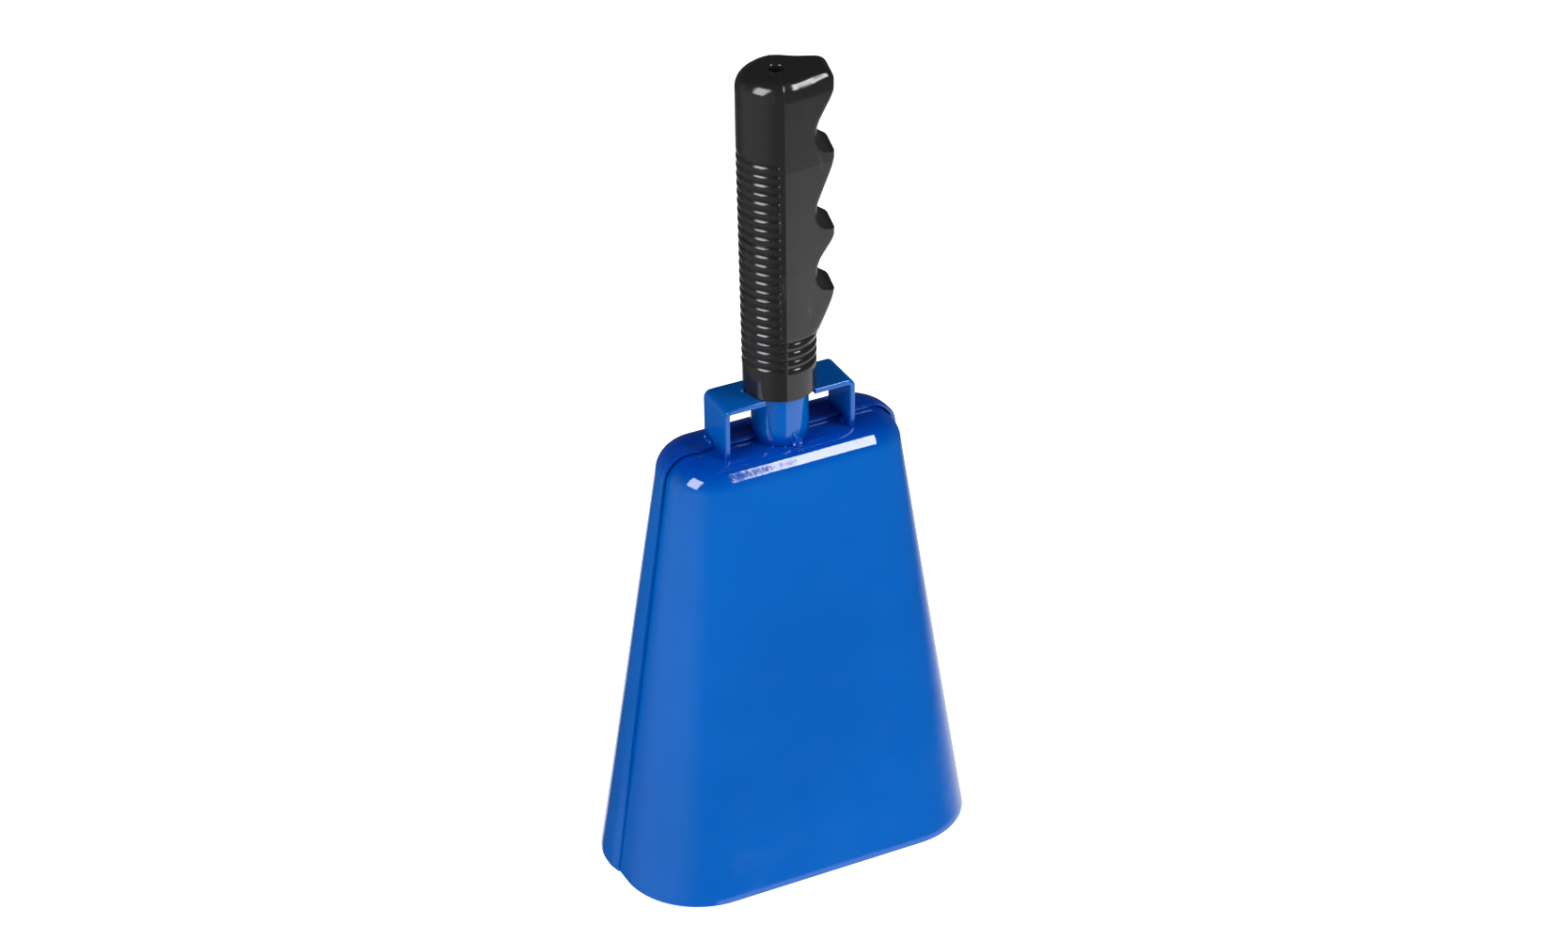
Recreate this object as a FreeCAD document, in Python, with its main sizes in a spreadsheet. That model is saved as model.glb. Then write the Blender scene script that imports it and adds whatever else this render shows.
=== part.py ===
import FreeCAD, Part
import math
import os
import Sketcher
from FreeCAD import Placement, Rotation, Vector

# A stick-handled cheering cowbell. Millimetres. The origin is the middle of the open mouth, on the
# axis of the handle tube. +Z is up, X runs along the width of the bell and -Y is its front.

# ------------------------------------------------------------------------- driving dimensions
DIMENSIONS = [
    ("mouth_width", 127.6, "bell: outside width at the mouth"),
    ("mouth_depth", 66.6, "bell: outside depth at the mouth"),
    ("mouth_corner", 27.0, "bell: plan corner radius at the mouth"),
    ("bell_height", 157.7, "bell: height from the mouth to the crown"),
    ("crown_width", 82.4, "bell: width of the faces where they would meet the crown"),
    ("crown_depth", 33.6, "bell: depth of the faces where they would meet the crown"),
    ("crown_corner", 14.6, "bell: plan corner radius at the crown"),
    ("crown_fillet", 8.0, "bell: rounding from the faces into the crown"),
    ("sheet_wall", 1.2, "bell: sheet thickness"),
    ("seam_lap", 6.0, "bell: how far the front shell tucks into the rear shell"),
    ("seam_gap", 0.1, "bell: play between the two sheets in the lap"),
    ("seam_bead", 1.3, "bell: throat of the tack welds along the lap"),
    ("seam_tack_length", 8.0, "bell: length of one tack weld"),
    ("tube_od", 19.0, "handle tube: outside diameter"),
    ("tube_wall", 1.5, "handle tube: wall"),
    ("bracket_width", 16.0, "brackets: width of the strip"),
    ("bracket_strip", 1.9, "brackets: thickness of the strip"),
    ("bracket_reach", 23.5, "brackets: tube axis to the outer face of a leg"),
    ("bracket_bend", 2.5, "brackets: outside radius of the bend"),
    ("left_arm_height", 16.8, "left bracket: top of the arm above the crown"),
    ("right_arm_height", 16.4, "right bracket: top of the arm above the crown"),
    ("weld_bead", 1.5, "welds: half width of a tack at the tube and the brackets"),
    ("palm_wall_low", 2.45, "grip: wall of the palm side at the bottom end"),
    ("palm_wall_high", 3.4, "grip: wall of the palm side where it stops widening"),
    ("groove_wall", 1.3, "grip: wall left under a finger groove"),
    ("groove_depth", 6.75, "grip: depth of a finger groove below the crests beside it"),
    ("grip_wedge", 23.5, "grip: angle between a flank and the middle plane"),
    ("grip_tip", 3.2, "grip: plan corner radius of the finger side"),
    ("grip_round", 3.0, "grip: rounding of the top edge"),
    ("grip_twist", 14.3, "grip: turn of the finger side from +X towards the front"),
    ("grip_fit", 0.05, "grip: radial play on the handle tube"),
    ("taper_end", 83.0, "grip: height where the palm side stops widening"),
    ("heel_start", 19.5, "grip: height where the heel ramp leaves the round collar"),
    ("heel_lip", 36.3, "grip: height of the first lip"),
    ("ring_pitch", 22.2, "grip: length of the ring finger's groove"),
    ("middle_pitch", 27.4, "grip: length of the middle finger's groove"),
    ("index_pitch", 24.0, "grip: length of the index finger's groove"),
    ("head_height", 3.6, "grip: from the last crest to the top"),
    ("crest_flat", 2.6, "grip: flat on each crest"),
    ("groove_rise", 7.9, "grip: from a lip up to the deepest line of its groove"),
    ("finger_radius", 9.5, "grip: radius of the groove above its deepest line"),
    ("grip_top_wall", 4.0, "grip: thickness of the closed top"),
    ("lanyard_hole", 5.3, "grip: hole through the closed top"),
    ("rib_start", 11.2, "grip: height of the lowest rib groove"),
    ("rib_pitch", 3.2, "grip: pitch of the rib grooves"),
    ("rib_floor", 1.9, "grip: wall left under a rib groove"),
    ("rib_slot", 0.9, "grip: width of a rib groove at its floor"),
    ("rib_margin", 9.0, "grip: smooth strip beside the parting line, in degrees"),
    ("staple_wire", 3.0, "clapper staple: wire diameter"),
    ("staple_span", 14.0, "clapper staple: distance between its legs"),
    ("staple_drop", 9.0, "clapper staple: crown to the middle of its bar"),
    ("staple_bend", 3.5, "clapper staple: bend radius on the wire's middle"),
    ("link_wire", 2.5, "clapper link: wire diameter"),
    ("link_bend", 4.0, "clapper link: radius of its round top on the wire's middle"),
    ("link_height", 12.0, "clapper link: middle of the round top to the bottom bar"),
    ("link_corner", 2.0, "clapper link: bottom bend radius on the wire's middle"),
    ("eye_wire", 4.0, "clapper rod: wire diameter of the eye"),
    ("eye_bend", 4.6, "clapper rod: radius of the eye on the wire's middle"),
    ("rod_diameter", 5.0, "clapper rod: diameter"),
    ("ball_diameter", 22.0, "clapper ball: diameter"),
    ("ball_height", 30.0, "clapper ball: middle above the mouth"),
    ("ball_flat", 0.7, "clapper ball: depth of the flats at the ends of its bore"),
    ("ball_fit", 0.02, "clapper ball: radial play on the rod"),
    ("rod_head", 7.4, "clapper rod: diameter of the riveted head under the ball"),
    ("rod_head_height", 1.3, "clapper rod: thickness of the riveted head"),
    ("hang_fit", 0.05, "clapper: play between a hanging loop and its bar"),
]
RING_RIBS = 4          # rib grooves that run right round the grip
PALM_RIBS = 20         # rib grooves on the palm side only
ROUND_STEPS = 4        # steps from the walls of the bell into its crown
CUT_SPARE = 2.0        # how far a cutting profile runs past the surface that it cuts

doc = FreeCAD.newDocument("cowbell")
sheet = doc.addObject("Spreadsheet::Sheet", "sizes")
sheet.Label = "driving dimensions"
for row, (alias, value, meaning) in enumerate(DIMENSIONS, start=1):
    sheet.set(f"A{row}", meaning)
    sheet.set(f"B{row}", str(value))
    sheet.setAlias(f"B{row}", alias)
doc.recompute()

# Sizes that several pieces share, as expressions on the sheet.
LAP_INSET = "(sizes.sheet_wall + sizes.seam_gap)"
INNER_CROWN = "(sizes.bell_height - 2 * sizes.sheet_wall - sizes.seam_gap)"
FOOT_LEVEL = "(sizes.bell_height - sizes.crown_fillet)"
GRIP_BASE = "(sizes.bell_height + max(sizes.left_arm_height; sizes.right_arm_height))"
RING_LIP = "(sizes.heel_lip + sizes.ring_pitch)"
MIDDLE_LIP = f"({RING_LIP} + sizes.middle_pitch)"
TOP_CREST = f"({MIDDLE_LIP} + sizes.index_pitch)"
GRIP_LENGTH = f"({TOP_CREST} + sizes.head_height)"
BORE_RADIUS = "(sizes.tube_od / 2 + sizes.grip_fit)"
PALM_LOW = f"({BORE_RADIUS} + sizes.palm_wall_low)"
PALM_HIGH = f"({BORE_RADIUS} + sizes.palm_wall_high)"
GROOVE_FLOOR = f"({BORE_RADIUS} + sizes.groove_wall)"
GRIP_REACH = f"({GROOVE_FLOOR} + sizes.groove_depth)"
STAPLE_BAR = f"({INNER_CROWN} - sizes.staple_drop)"
LINK_HANG = "(sizes.link_bend - (sizes.link_wire + sizes.staple_wire) / 2 - sizes.hang_fit)"
LINK_TOP = f"({STAPLE_BAR} - {LINK_HANG})"
LINK_BAR = f"({LINK_TOP} - sizes.link_height)"
EYE_HANG = "(sizes.eye_bend - (sizes.eye_wire + sizes.link_wire) / 2 - sizes.hang_fit)"
EYE_CENTRE = f"({LINK_BAR} - {EYE_HANG})"
BALL_BOTTOM = "(sizes.ball_height - sizes.ball_diameter / 2 + sizes.ball_flat)"


def value(expression):
    """What an expression on the sheet comes to, in mm or degrees."""
    result = sheet.evalExpression(expression)
    return float(getattr(result, "Value", result))


# ------------------------------------------------------------------------------ sketch helpers
def origin_feature(body, role):
    return next(feature for feature in body.Origin.OriginFeatures if feature.Role == role)


def new_body(name):
    return doc.addObject("PartDesign::Body", name)


def new_sketch(body, name, plane="XY_Plane", lift=None, shift=None):
    """A sketch on one of the body's own planes, lifted off it or shifted up along it."""
    sketch = body.newObject("Sketcher::SketchObject", name)
    sketch.AttachmentSupport = (origin_feature(body, plane), [""])
    sketch.MapMode = "FlatFace"
    if lift:
        sketch.setExpression("AttachmentOffset.Base.z", lift)
    if shift:
        sketch.setExpression("AttachmentOffset.Base.y", shift)
    return sketch


def dimension(sketch, name, expression, kind, *where):
    """A named constraint that follows the sheet."""
    amount = value(expression)
    if kind == "Angle":
        amount = math.radians(amount)
    index = sketch.addConstraint(Sketcher.Constraint(kind, *where, amount))
    sketch.renameConstraint(index, name)
    sketch.setExpression(f"Constraints.{name}", expression)


def line(sketch, start, end):
    return sketch.addGeometry(Part.LineSegment(Vector(*start, 0), Vector(*end, 0)), False)


def arc(sketch, centre, radius, start, end):
    """An arc from the angle start to the angle end, anticlockwise, in degrees."""
    circle = Part.Circle(Vector(*centre, 0), Vector(0, 0, 1), radius)
    return sketch.addGeometry(Part.ArcOfCircle(circle, math.radians(start), math.radians(end)), False)


def join(sketch, kind, *ends):
    """Tangent or Coincident between two curve ends, each given as (curve, end)."""
    (first, first_end), (second, second_end) = ends
    sketch.addConstraint(Sketcher.Constraint(kind, first, first_end, second, second_end))


def circle(sketch, name, radius, across=0.0, up="0"):
    """A circle on the sketch's upright axis, or across it, at the height up."""
    geometry = Part.Circle(Vector(across, value(up), 0), Vector(0, 0, 1), value(radius))
    index = sketch.addGeometry(geometry, False)
    if up == "0":
        sketch.addConstraint(Sketcher.Constraint("Coincident", index, 3, -1, 1))
    else:
        sketch.addConstraint(Sketcher.Constraint("PointOnObject", index, 3, -2))
        dimension(sketch, f"{name}_up", up, "DistanceY", -1, 1, index, 3)
    dimension(sketch, f"{name}_radius", radius, "Radius", index)


def rectangle(sketch, left, right, bottom, top):
    """A rectangle whose four sides are expressions, measured from the sketch's origin."""
    x0, x1, y0, y1 = value(left), value(right), value(bottom), value(top)
    corners = [(x0, y0), (x1, y0), (x1, y1), (x0, y1)]
    sides = [line(sketch, corners[i], corners[(i + 1) % 4]) for i in range(4)]
    for i in range(4):
        join(sketch, "Coincident", (sides[i], 2), (sides[(i + 1) % 4], 1))
        sketch.addConstraint(Sketcher.Constraint("Horizontal" if i % 2 == 0 else "Vertical", sides[i]))
    dimension(sketch, "left_side", left, "DistanceX", -1, 1, sides[0], 1)
    dimension(sketch, "right_side", right, "DistanceX", -1, 1, sides[1], 1)
    dimension(sketch, "bottom_side", bottom, "DistanceY", -1, 1, sides[0], 1)
    dimension(sketch, "top_side", top, "DistanceY", -1, 1, sides[2], 1)


def rounded_rectangle(sketch, width, depth, corner):
    """A centred rectangle with four equal round corners."""
    a = value(width) / 2
    b = value(depth) / 2
    r = value(corner)
    lower = line(sketch, (-(a - r), -b), (a - r, -b))
    lower_right = arc(sketch, (a - r, -(b - r)), r, 270, 360)
    right = line(sketch, (a, -(b - r)), (a, b - r))
    upper_right = arc(sketch, (a - r, b - r), r, 0, 90)
    upper = line(sketch, (a - r, b), (-(a - r), b))
    upper_left = arc(sketch, (-(a - r), b - r), r, 90, 180)
    left = line(sketch, (-a, b - r), (-a, -(b - r)))
    lower_left = arc(sketch, (-(a - r), -(b - r)), r, 180, 270)
    loop = [lower, lower_right, right, upper_right, upper, upper_left, left, lower_left]
    for current, following in zip(loop, loop[1:] + loop[:1]):
        join(sketch, "Tangent", (current, 2), (following, 1))
    for side in (lower, upper):
        sketch.addConstraint(Sketcher.Constraint("Horizontal", side))
    for side in (left, right):
        sketch.addConstraint(Sketcher.Constraint("Vertical", side))
    for other in (upper_right, upper_left, lower_left):
        sketch.addConstraint(Sketcher.Constraint("Equal", lower_right, other))
    sketch.addConstraint(Sketcher.Constraint("Symmetric", lower_left, 3, upper_right, 3, -1, 1))
    dimension(sketch, "width", width, "DistanceX", left, 1, right, 1)
    dimension(sketch, "depth", depth, "DistanceY", lower, 1, upper, 1)
    dimension(sketch, "corner", corner, "Radius", lower_right)


def top_face(shape):
    """The name of the face that lies highest."""
    heights = [face.CenterOfMass.z for face in shape.Faces]
    return f"Face{heights.index(max(heights)) + 1}"


def loft(body, name, lowest, others, ruled):
    """A loft from the lowest section up through the others."""
    feature = body.newObject("PartDesign::AdditiveLoft", name)
    feature.Profile = lowest
    feature.Sections = others
    feature.Ruled = ruled
    doc.recompute()
    return feature


def round_top(body, name, base, radius):
    """Rounds every edge of the highest face."""
    feature = body.newObject("PartDesign::Fillet", name)
    feature.Base = (base, [top_face(base.Shape)])
    feature.Radius = value(radius)
    feature.setExpression("Radius", radius)
    doc.recompute()


def pad(body, name, sketch, length, midplane=False):
    feature = body.newObject("PartDesign::Pad", name)
    feature.Profile = sketch
    feature.SideType = "Symmetric" if midplane else "One side"
    feature.setExpression("Length", length)
    doc.recompute()
    return feature


def pocket(body, name, sketch, length, midplane=False, reverse=False):
    """A pocket that stops the build if it removes nothing."""
    before = body.Shape.Volume
    feature = body.newObject("PartDesign::Pocket", name)
    feature.Profile = sketch
    feature.SideType = "Symmetric" if midplane else "One side"
    feature.Reversed = reverse
    feature.setExpression("Length", length)
    doc.recompute()
    if not body.Shape.Volume < before:
        raise RuntimeError(f"{name} removes nothing")
    return feature


# ----------------------------------------------------------------------------- solid helpers
def cut(name, base, tool):
    feature = doc.addObject("Part::Cut", name)
    feature.Base = base
    feature.Tool = tool
    return feature


def common(name, first, second):
    feature = doc.addObject("Part::Common", name)
    feature.Base = first
    feature.Tool = second
    return feature


def fuse(name, shapes):
    feature = doc.addObject("Part::MultiFuse", name)
    feature.Shapes = shapes
    return feature


def group(name, shapes):
    feature = doc.addObject("Part::Compound", name)
    feature.Links = shapes
    return feature


def box(name, low, high):
    """A box between two corners, each given as three expressions."""
    feature = doc.addObject("Part::Box", name)
    for axis, side, start, end in zip("xyz", ("Length", "Width", "Height"), low, high):
        feature.setExpression(f"Placement.Base.{axis}", start)
        feature.setExpression(side, f"({end}) - ({start})")
    return feature


def bead(name, centre, radius, neighbours):
    """A weld bead: a ball of weld, less the pieces that it sits against."""
    feature = doc.addObject("Part::Sphere", name)
    for axis, place in zip("xyz", centre):
        feature.setExpression(f"Placement.Base.{axis}", place)
    feature.setExpression("Radius", radius)
    for count, neighbour in enumerate(neighbours, start=1):
        feature = cut(f"{name}_cut_{count}", feature, neighbour)
    return feature


nodes = []


def node(feature, name):
    """Names a finished sub-part. Its label is the name of its file."""
    feature.Label = name
    nodes.append(feature)
    return feature


# --------------------------------------------------------------------------------- bell shells
def bell_section(body, name, side_inset, face_inset, turn=None):
    """One level of the bell: the mouth, or a step of the rounding, turn degrees into it."""
    fillet = f"(sizes.crown_fillet - {face_inset})"
    share, drawn_in, level = "1", "0", None
    if turn is not None:
        drop = 1 - math.sin(math.radians(turn))
        level = f"(sizes.bell_height - {side_inset} - {fillet} * {drop:.6f})"
        share = f"(1 - {level} / sizes.bell_height)"
        drawn_in = f"{fillet} * {1 - math.cos(math.radians(turn)):.6f}"
    sketch = new_sketch(body, name, lift=level)
    spread = {
        side: f"sizes.crown_{side} + (sizes.mouth_{side} - sizes.crown_{side}) * {share}"
        for side in ("width", "depth", "corner")
    }
    rounded_rectangle(
        sketch,
        f"{spread['width']} - 2 * {side_inset} - 2 * {drawn_in}",
        f"{spread['depth']} - 2 * {face_inset} - 2 * {drawn_in}",
        f"{spread['corner']} - {face_inset} - {drawn_in}",
    )
    return sketch


def bell_blank(name, side_inset, face_inset):
    """The closed form of the bell, drawn in from its sides and top and from its front and rear."""
    body = new_body(name)
    mouth = bell_section(body, f"{name}_mouth", side_inset, face_inset)
    rounding = [
        bell_section(body, f"{name}_round_{count}", side_inset, face_inset, 90 * count / ROUND_STEPS)
        for count in range(ROUND_STEPS + 1)
    ]
    loft(body, f"{name}_walls", mouth, rounding[:1], ruled=True)
    loft(body, f"{name}_crown", rounding[0], rounding[1:], ruled=False)
    return body


def make_shells():
    rear_outer = bell_blank("rear_outer", "0", "0")
    rear_inner = bell_blank("rear_inner", "sizes.sheet_wall", "sizes.sheet_wall")
    front_outer = bell_blank("front_outer", LAP_INSET, "0")
    front_inner = bell_blank("front_inner", f"({LAP_INSET} + sizes.sheet_wall)", "sizes.sheet_wall")
    bead_inner_inset = "(sizes.sheet_wall + sizes.seam_bead)"
    bead_inner = bell_blank("bead_inner", bead_inner_inset, bead_inner_inset)

    low = ["-sizes.mouth_width", "-sizes.mouth_depth", "-sizes.bell_height"]
    high = ["sizes.mouth_width", "sizes.mouth_depth", "2 * sizes.bell_height"]
    front_side = box("front_side", low, [high[0], "sizes.seam_lap", high[2]])
    front_of_seam = box("front_of_seam", low, [high[0], "0", high[2]])
    rear_side = box("rear_side", [low[0], "0", low[2]], high)

    front_wall = cut("front_wall", front_outer, front_inner)
    rear_wall = cut("rear_wall", rear_outer, rear_inner)
    node(common("front_shell_solid", front_wall, front_side), "front_shell")
    node(common("rear_shell_solid", rear_wall, rear_side), "rear_shell")

    # Everything that stands on the crown is coped to the outside of both shells.
    front_part = common("front_outside", front_outer, front_of_seam)
    rear_part = common("rear_outside", rear_outer, rear_side)
    outside = fuse("bell_outside", [front_part, rear_part])

    # Tack welds inside, where the front shell's edge ends against the rear shell.
    tacks = []
    edge = ["sizes.seam_lap", "sizes.seam_lap + 2 * sizes.seam_bead"]
    for count, level in enumerate((0.12, 0.45, 0.78), start=1):
        height = f"{level} * sizes.bell_height"
        tacks.append(box(
            f"side_tack_{count}",
            [low[0], edge[0], height],
            [high[0], edge[1], f"{height} + sizes.seam_tack_length"],
        ))
    for side, name in ((-1, "left"), (1, "right")):
        middle = f"{side} * sizes.crown_width / 4"
        tacks.append(box(
            f"crown_tack_{name}",
            [f"{middle} - sizes.seam_tack_length / 2", edge[0], "sizes.bell_height / 2"],
            [f"{middle} + sizes.seam_tack_length / 2", edge[1], high[2]],
        ))
    inner_skin = cut("inner_skin", rear_inner, bead_inner)
    node(common("seam_tack_solids", inner_skin, group("seam_tack_places", tacks)), "seam_tack_welds")
    return outside


# ------------------------------------------------------------------------ handle tube, brackets
def make_tube(outside):
    body = new_body("tube_blank")
    ring = new_sketch(body, "tube_ring", lift=FOOT_LEVEL)
    circle(ring, "outer", "sizes.tube_od / 2")
    circle(ring, "inner", "sizes.tube_od / 2 - sizes.tube_wall")
    tube_top = f"({GRIP_BASE} + {GRIP_LENGTH} - sizes.grip_top_wall - sizes.grip_fit)"
    pad(body, "tube_length", ring, f"{tube_top} - {FOOT_LEVEL}")
    return node(cut("tube_solid", body, outside), "handle_tube")


def make_bracket(side, name, arm_height, outside, tube_outside):
    """An L of flat strip: a leg on the crown and an arm that ends on the tube."""
    body = new_body(f"{name}_blank")
    profile = new_sketch(body, f"{name}_profile", plane="XZ_Plane")
    reach = value("sizes.bracket_reach")
    strip = value("sizes.bracket_strip")
    bend = value("sizes.bracket_bend")
    top = value(f"sizes.bell_height + {arm_height}")
    foot = value(FOOT_LEVEL)
    outer_arc_ends = (90, 180) if side < 0 else (0, 90)
    centre = (side * (reach - bend), top - bend)
    leg_outer = line(profile, (side * reach, foot), (side * reach, top - bend))
    outer_bend = arc(profile, centre, bend, *outer_arc_ends)
    arm_top = line(profile, (side * (reach - bend), top), (0, top))
    arm_end = line(profile, (0, top), (0, top - strip))
    arm_under = line(profile, (0, top - strip), (side * (reach - bend), top - strip))
    inner_bend = arc(profile, centre, bend - strip, *outer_arc_ends)
    leg_inner = line(profile, (side * (reach - strip), top - bend), (side * (reach - strip), foot))
    leg_end = line(profile, (side * (reach - strip), foot), (side * reach, foot))
    # An arc's ends swap between the two sides, because arcs always run anticlockwise.
    near_leg, near_arm = (2, 1) if side < 0 else (1, 2)
    join(profile, "Tangent", (leg_outer, 2), (outer_bend, near_leg))
    join(profile, "Tangent", (outer_bend, near_arm), (arm_top, 1))
    join(profile, "Coincident", (arm_top, 2), (arm_end, 1))
    join(profile, "Coincident", (arm_end, 2), (arm_under, 1))
    join(profile, "Tangent", (arm_under, 2), (inner_bend, near_arm))
    join(profile, "Tangent", (inner_bend, near_leg), (leg_inner, 1))
    join(profile, "Coincident", (leg_inner, 2), (leg_end, 1))
    join(profile, "Coincident", (leg_end, 2), (leg_outer, 1))
    join(profile, "Coincident", (outer_bend, 3), (inner_bend, 3))
    for upright in (leg_outer, arm_end):
        profile.addConstraint(Sketcher.Constraint("Vertical", upright))
    for level in (arm_top, leg_end):
        profile.addConstraint(Sketcher.Constraint("Horizontal", level))
    profile.addConstraint(Sketcher.Constraint("PointOnObject", arm_end, 1, -2))
    dimension(profile, "reach", f"{side} * sizes.bracket_reach", "DistanceX", -1, 1, leg_outer, 1)
    dimension(profile, "foot", FOOT_LEVEL, "DistanceY", -1, 1, leg_outer, 1)
    dimension(profile, "top", f"sizes.bell_height + {arm_height}", "DistanceY", -1, 1, arm_end, 1)
    dimension(profile, "outer_radius", "sizes.bracket_bend", "Radius", outer_bend)
    dimension(profile, "inner_radius", "sizes.bracket_bend - sizes.bracket_strip", "Radius", inner_bend)
    pad(body, f"{name}_strip", profile, "sizes.bracket_width", midplane=True)
    coped = cut(f"{name}_coped", body, outside)
    return node(cut(f"{name}_solid", coped, tube_outside), name)


def make_welds(outside, tube_outside, brackets):
    half = "sizes.weld_bead"
    front_crown = f"(sizes.bell_height - {LAP_INSET})"
    tube_radius = "sizes.tube_od / 2"

    # Tacks round the foot of the tube. The one at the front right has run down the tube.
    tube_beads = []
    rear_crown = "sizes.bell_height"
    places = [
        (-81, 1.2, front_crown),
        (-107, 0.55, front_crown),
        (-131, 0.5, front_crown),
        (48, 0.9, rear_crown),
        (133, 0.9, rear_crown),
    ]
    for count, (angle, share, level) in enumerate(places, start=1):
        x = f"{tube_radius} * {math.cos(math.radians(angle)):.4f}"
        y = f"{tube_radius} * {math.sin(math.radians(angle)):.4f}"
        tube_beads.append(bead(
            f"tube_bead_{count}", (x, y, level), f"{share} * {half}", [outside, tube_outside]))
    node(group("tube_beads", tube_beads), "tube_foot_welds")

    # Tacks at the feet of the brackets: one outside, near the seam, and one inside each leg.
    foot_beads = []
    arm_beads = []
    for side, name, bracket in zip((-1, 1), ("left", "right"), brackets):
        outer = f"{side} * sizes.bracket_reach"
        inner = f"{side} * (sizes.bracket_reach - sizes.bracket_strip)"
        foot_beads.append(bead(
            f"{name}_outer_bead", (outer, "sizes.bracket_width / 4", "sizes.bell_height"),
            f"1.1 * {half}", [bracket, outside]))
        foot_beads.append(bead(
            f"{name}_inner_bead", (inner, "-sizes.bracket_width / 5", front_crown),
            f"0.8 * {half}", [bracket, outside]))
        # One under each arm, against the tube.
        under = f"sizes.bell_height + sizes.{name}_arm_height - sizes.bracket_strip"
        arm_beads.append(bead(
            f"{name}_arm_bead", (f"{side} * {tube_radius}", "0", under), half,
            [tube_outside, bracket]))
    node(group("foot_beads", foot_beads), "bracket_foot_welds")

    # A drop of weld on the left arm, beside the grip.
    drop = f"0.6 * {half}"
    drop_place = (
        f"-({PALM_LOW} + {drop} + sizes.seam_gap)",
        half,
        "sizes.bell_height + sizes.left_arm_height",
    )
    arm_beads.append(bead("left_arm_drop", drop_place, drop, brackets[:1]))
    node(group("arm_beads", arm_beads), "bracket_arm_welds")


# ------------------------------------------------------------------------------------ hand grip
def teardrop(sketch, radius):
    """Plan of the grip: a round palm side whose flanks run tangent to a blunt finger side."""
    r = value(radius)
    tip = value("sizes.grip_tip")
    reach = value(GRIP_REACH)
    wedge = value("sizes.grip_wedge")
    slant = math.radians(wedge)
    touch_x, touch_y = r * math.sin(slant), r * math.cos(slant)
    tip_x = reach - tip
    tip_y = (r - tip - tip_x * math.sin(slant)) / math.cos(slant)
    end_x, end_y = tip_x + tip * math.sin(slant), tip_y + tip * math.cos(slant)
    palm = arc(sketch, (0, 0), r, 90 - wedge, 270 + wedge)
    lower_flank = line(sketch, (touch_x, -touch_y), (end_x, -end_y))
    lower_tip = arc(sketch, (tip_x, -tip_y), tip, 270 + wedge, 360)
    front = line(sketch, (reach, -tip_y), (reach, tip_y))
    upper_tip = arc(sketch, (tip_x, tip_y), tip, 0, 90 - wedge)
    upper_flank = line(sketch, (end_x, end_y), (touch_x, touch_y))
    loop = [palm, lower_flank, lower_tip, front, upper_tip, upper_flank]
    for current, following in zip(loop, loop[1:] + loop[:1]):
        join(sketch, "Tangent", (current, 2), (following, 1))
    sketch.addConstraint(Sketcher.Constraint("Coincident", palm, 3, -1, 1))
    sketch.addConstraint(Sketcher.Constraint("Equal", lower_tip, upper_tip))
    sketch.addConstraint(Sketcher.Constraint("Symmetric", lower_tip, 3, upper_tip, 3, -1))
    dimension(sketch, "palm", radius, "Radius", palm)
    dimension(sketch, "tip", "sizes.grip_tip", "Radius", lower_tip)
    dimension(sketch, "wedge", "sizes.grip_wedge", "Angle", lower_flank)
    dimension(sketch, "reach", GRIP_REACH, "DistanceX", -1, 1, front, 1)


def finger_groove(body, name, lip, crest):
    """One finger's groove: a short round heel above the lip, a larger arc and a straight ramp."""
    sketch = new_sketch(body, f"{name}_side", plane="XZ_Plane")
    reach = value(GRIP_REACH)
    floor = value(GROOVE_FLOOR)
    rise = value("sizes.groove_rise")
    finger = value("sizes.finger_radius")
    low = value(lip)
    high = value(crest)
    deepest = low + rise
    outer = reach + CUT_SPARE
    depth = reach - floor
    heel = (rise ** 2 + depth ** 2) / (2 * depth)
    # The ramp leaves the finger arc where a line from the crest touches it.
    away = math.hypot(depth - finger, high - deepest)
    turn = math.atan2(high - deepest, depth - finger) + math.acos(finger / away)
    touch = (floor + finger + finger * math.cos(turn), deepest + finger * math.sin(turn))
    heel_turn = math.degrees(math.atan2(low - deepest, depth - heel)) % 360
    lip_line = line(sketch, (outer, low), (reach, low))
    heel_arc = arc(sketch, (floor + heel, deepest), heel, 180, heel_turn)
    finger_arc = arc(sketch, (floor + finger, deepest), finger, math.degrees(turn), 180)
    ramp = line(sketch, touch, (reach, high))
    crest_line = line(sketch, (reach, high), (outer, high))
    back = line(sketch, (outer, high), (outer, low))
    join(sketch, "Coincident", (lip_line, 2), (heel_arc, 2))
    join(sketch, "Tangent", (heel_arc, 1), (finger_arc, 2))
    join(sketch, "Tangent", (finger_arc, 1), (ramp, 1))
    join(sketch, "Coincident", (ramp, 2), (crest_line, 1))
    join(sketch, "Coincident", (crest_line, 2), (back, 1))
    join(sketch, "Coincident", (back, 2), (lip_line, 1))
    sketch.addConstraint(Sketcher.Constraint("Horizontal", heel_arc, 1, heel_arc, 3))
    sketch.addConstraint(Sketcher.Constraint("Horizontal", lip_line))
    sketch.addConstraint(Sketcher.Constraint("Horizontal", crest_line))
    sketch.addConstraint(Sketcher.Constraint("Vertical", back))
    dimension(sketch, "lip_reach", GRIP_REACH, "DistanceX", -1, 1, lip_line, 2)
    dimension(sketch, "crest_reach", GRIP_REACH, "DistanceX", -1, 1, ramp, 2)
    dimension(sketch, "outside", f"{GRIP_REACH} + {CUT_SPARE}", "DistanceX", -1, 1, back, 1)
    dimension(sketch, "floor", GROOVE_FLOOR, "DistanceX", -1, 1, heel_arc, 1)
    dimension(sketch, "lip", lip, "DistanceY", -1, 1, lip_line, 2)
    dimension(sketch, "rise", "sizes.groove_rise", "DistanceY", lip_line, 2, heel_arc, 1)
    dimension(sketch, "crest", crest, "DistanceY", -1, 1, ramp, 2)
    dimension(sketch, "finger", "sizes.finger_radius", "Radius", finger_arc)
    pocket(body, name, sketch, f"4 * {PALM_HIGH}", midplane=True)


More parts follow.
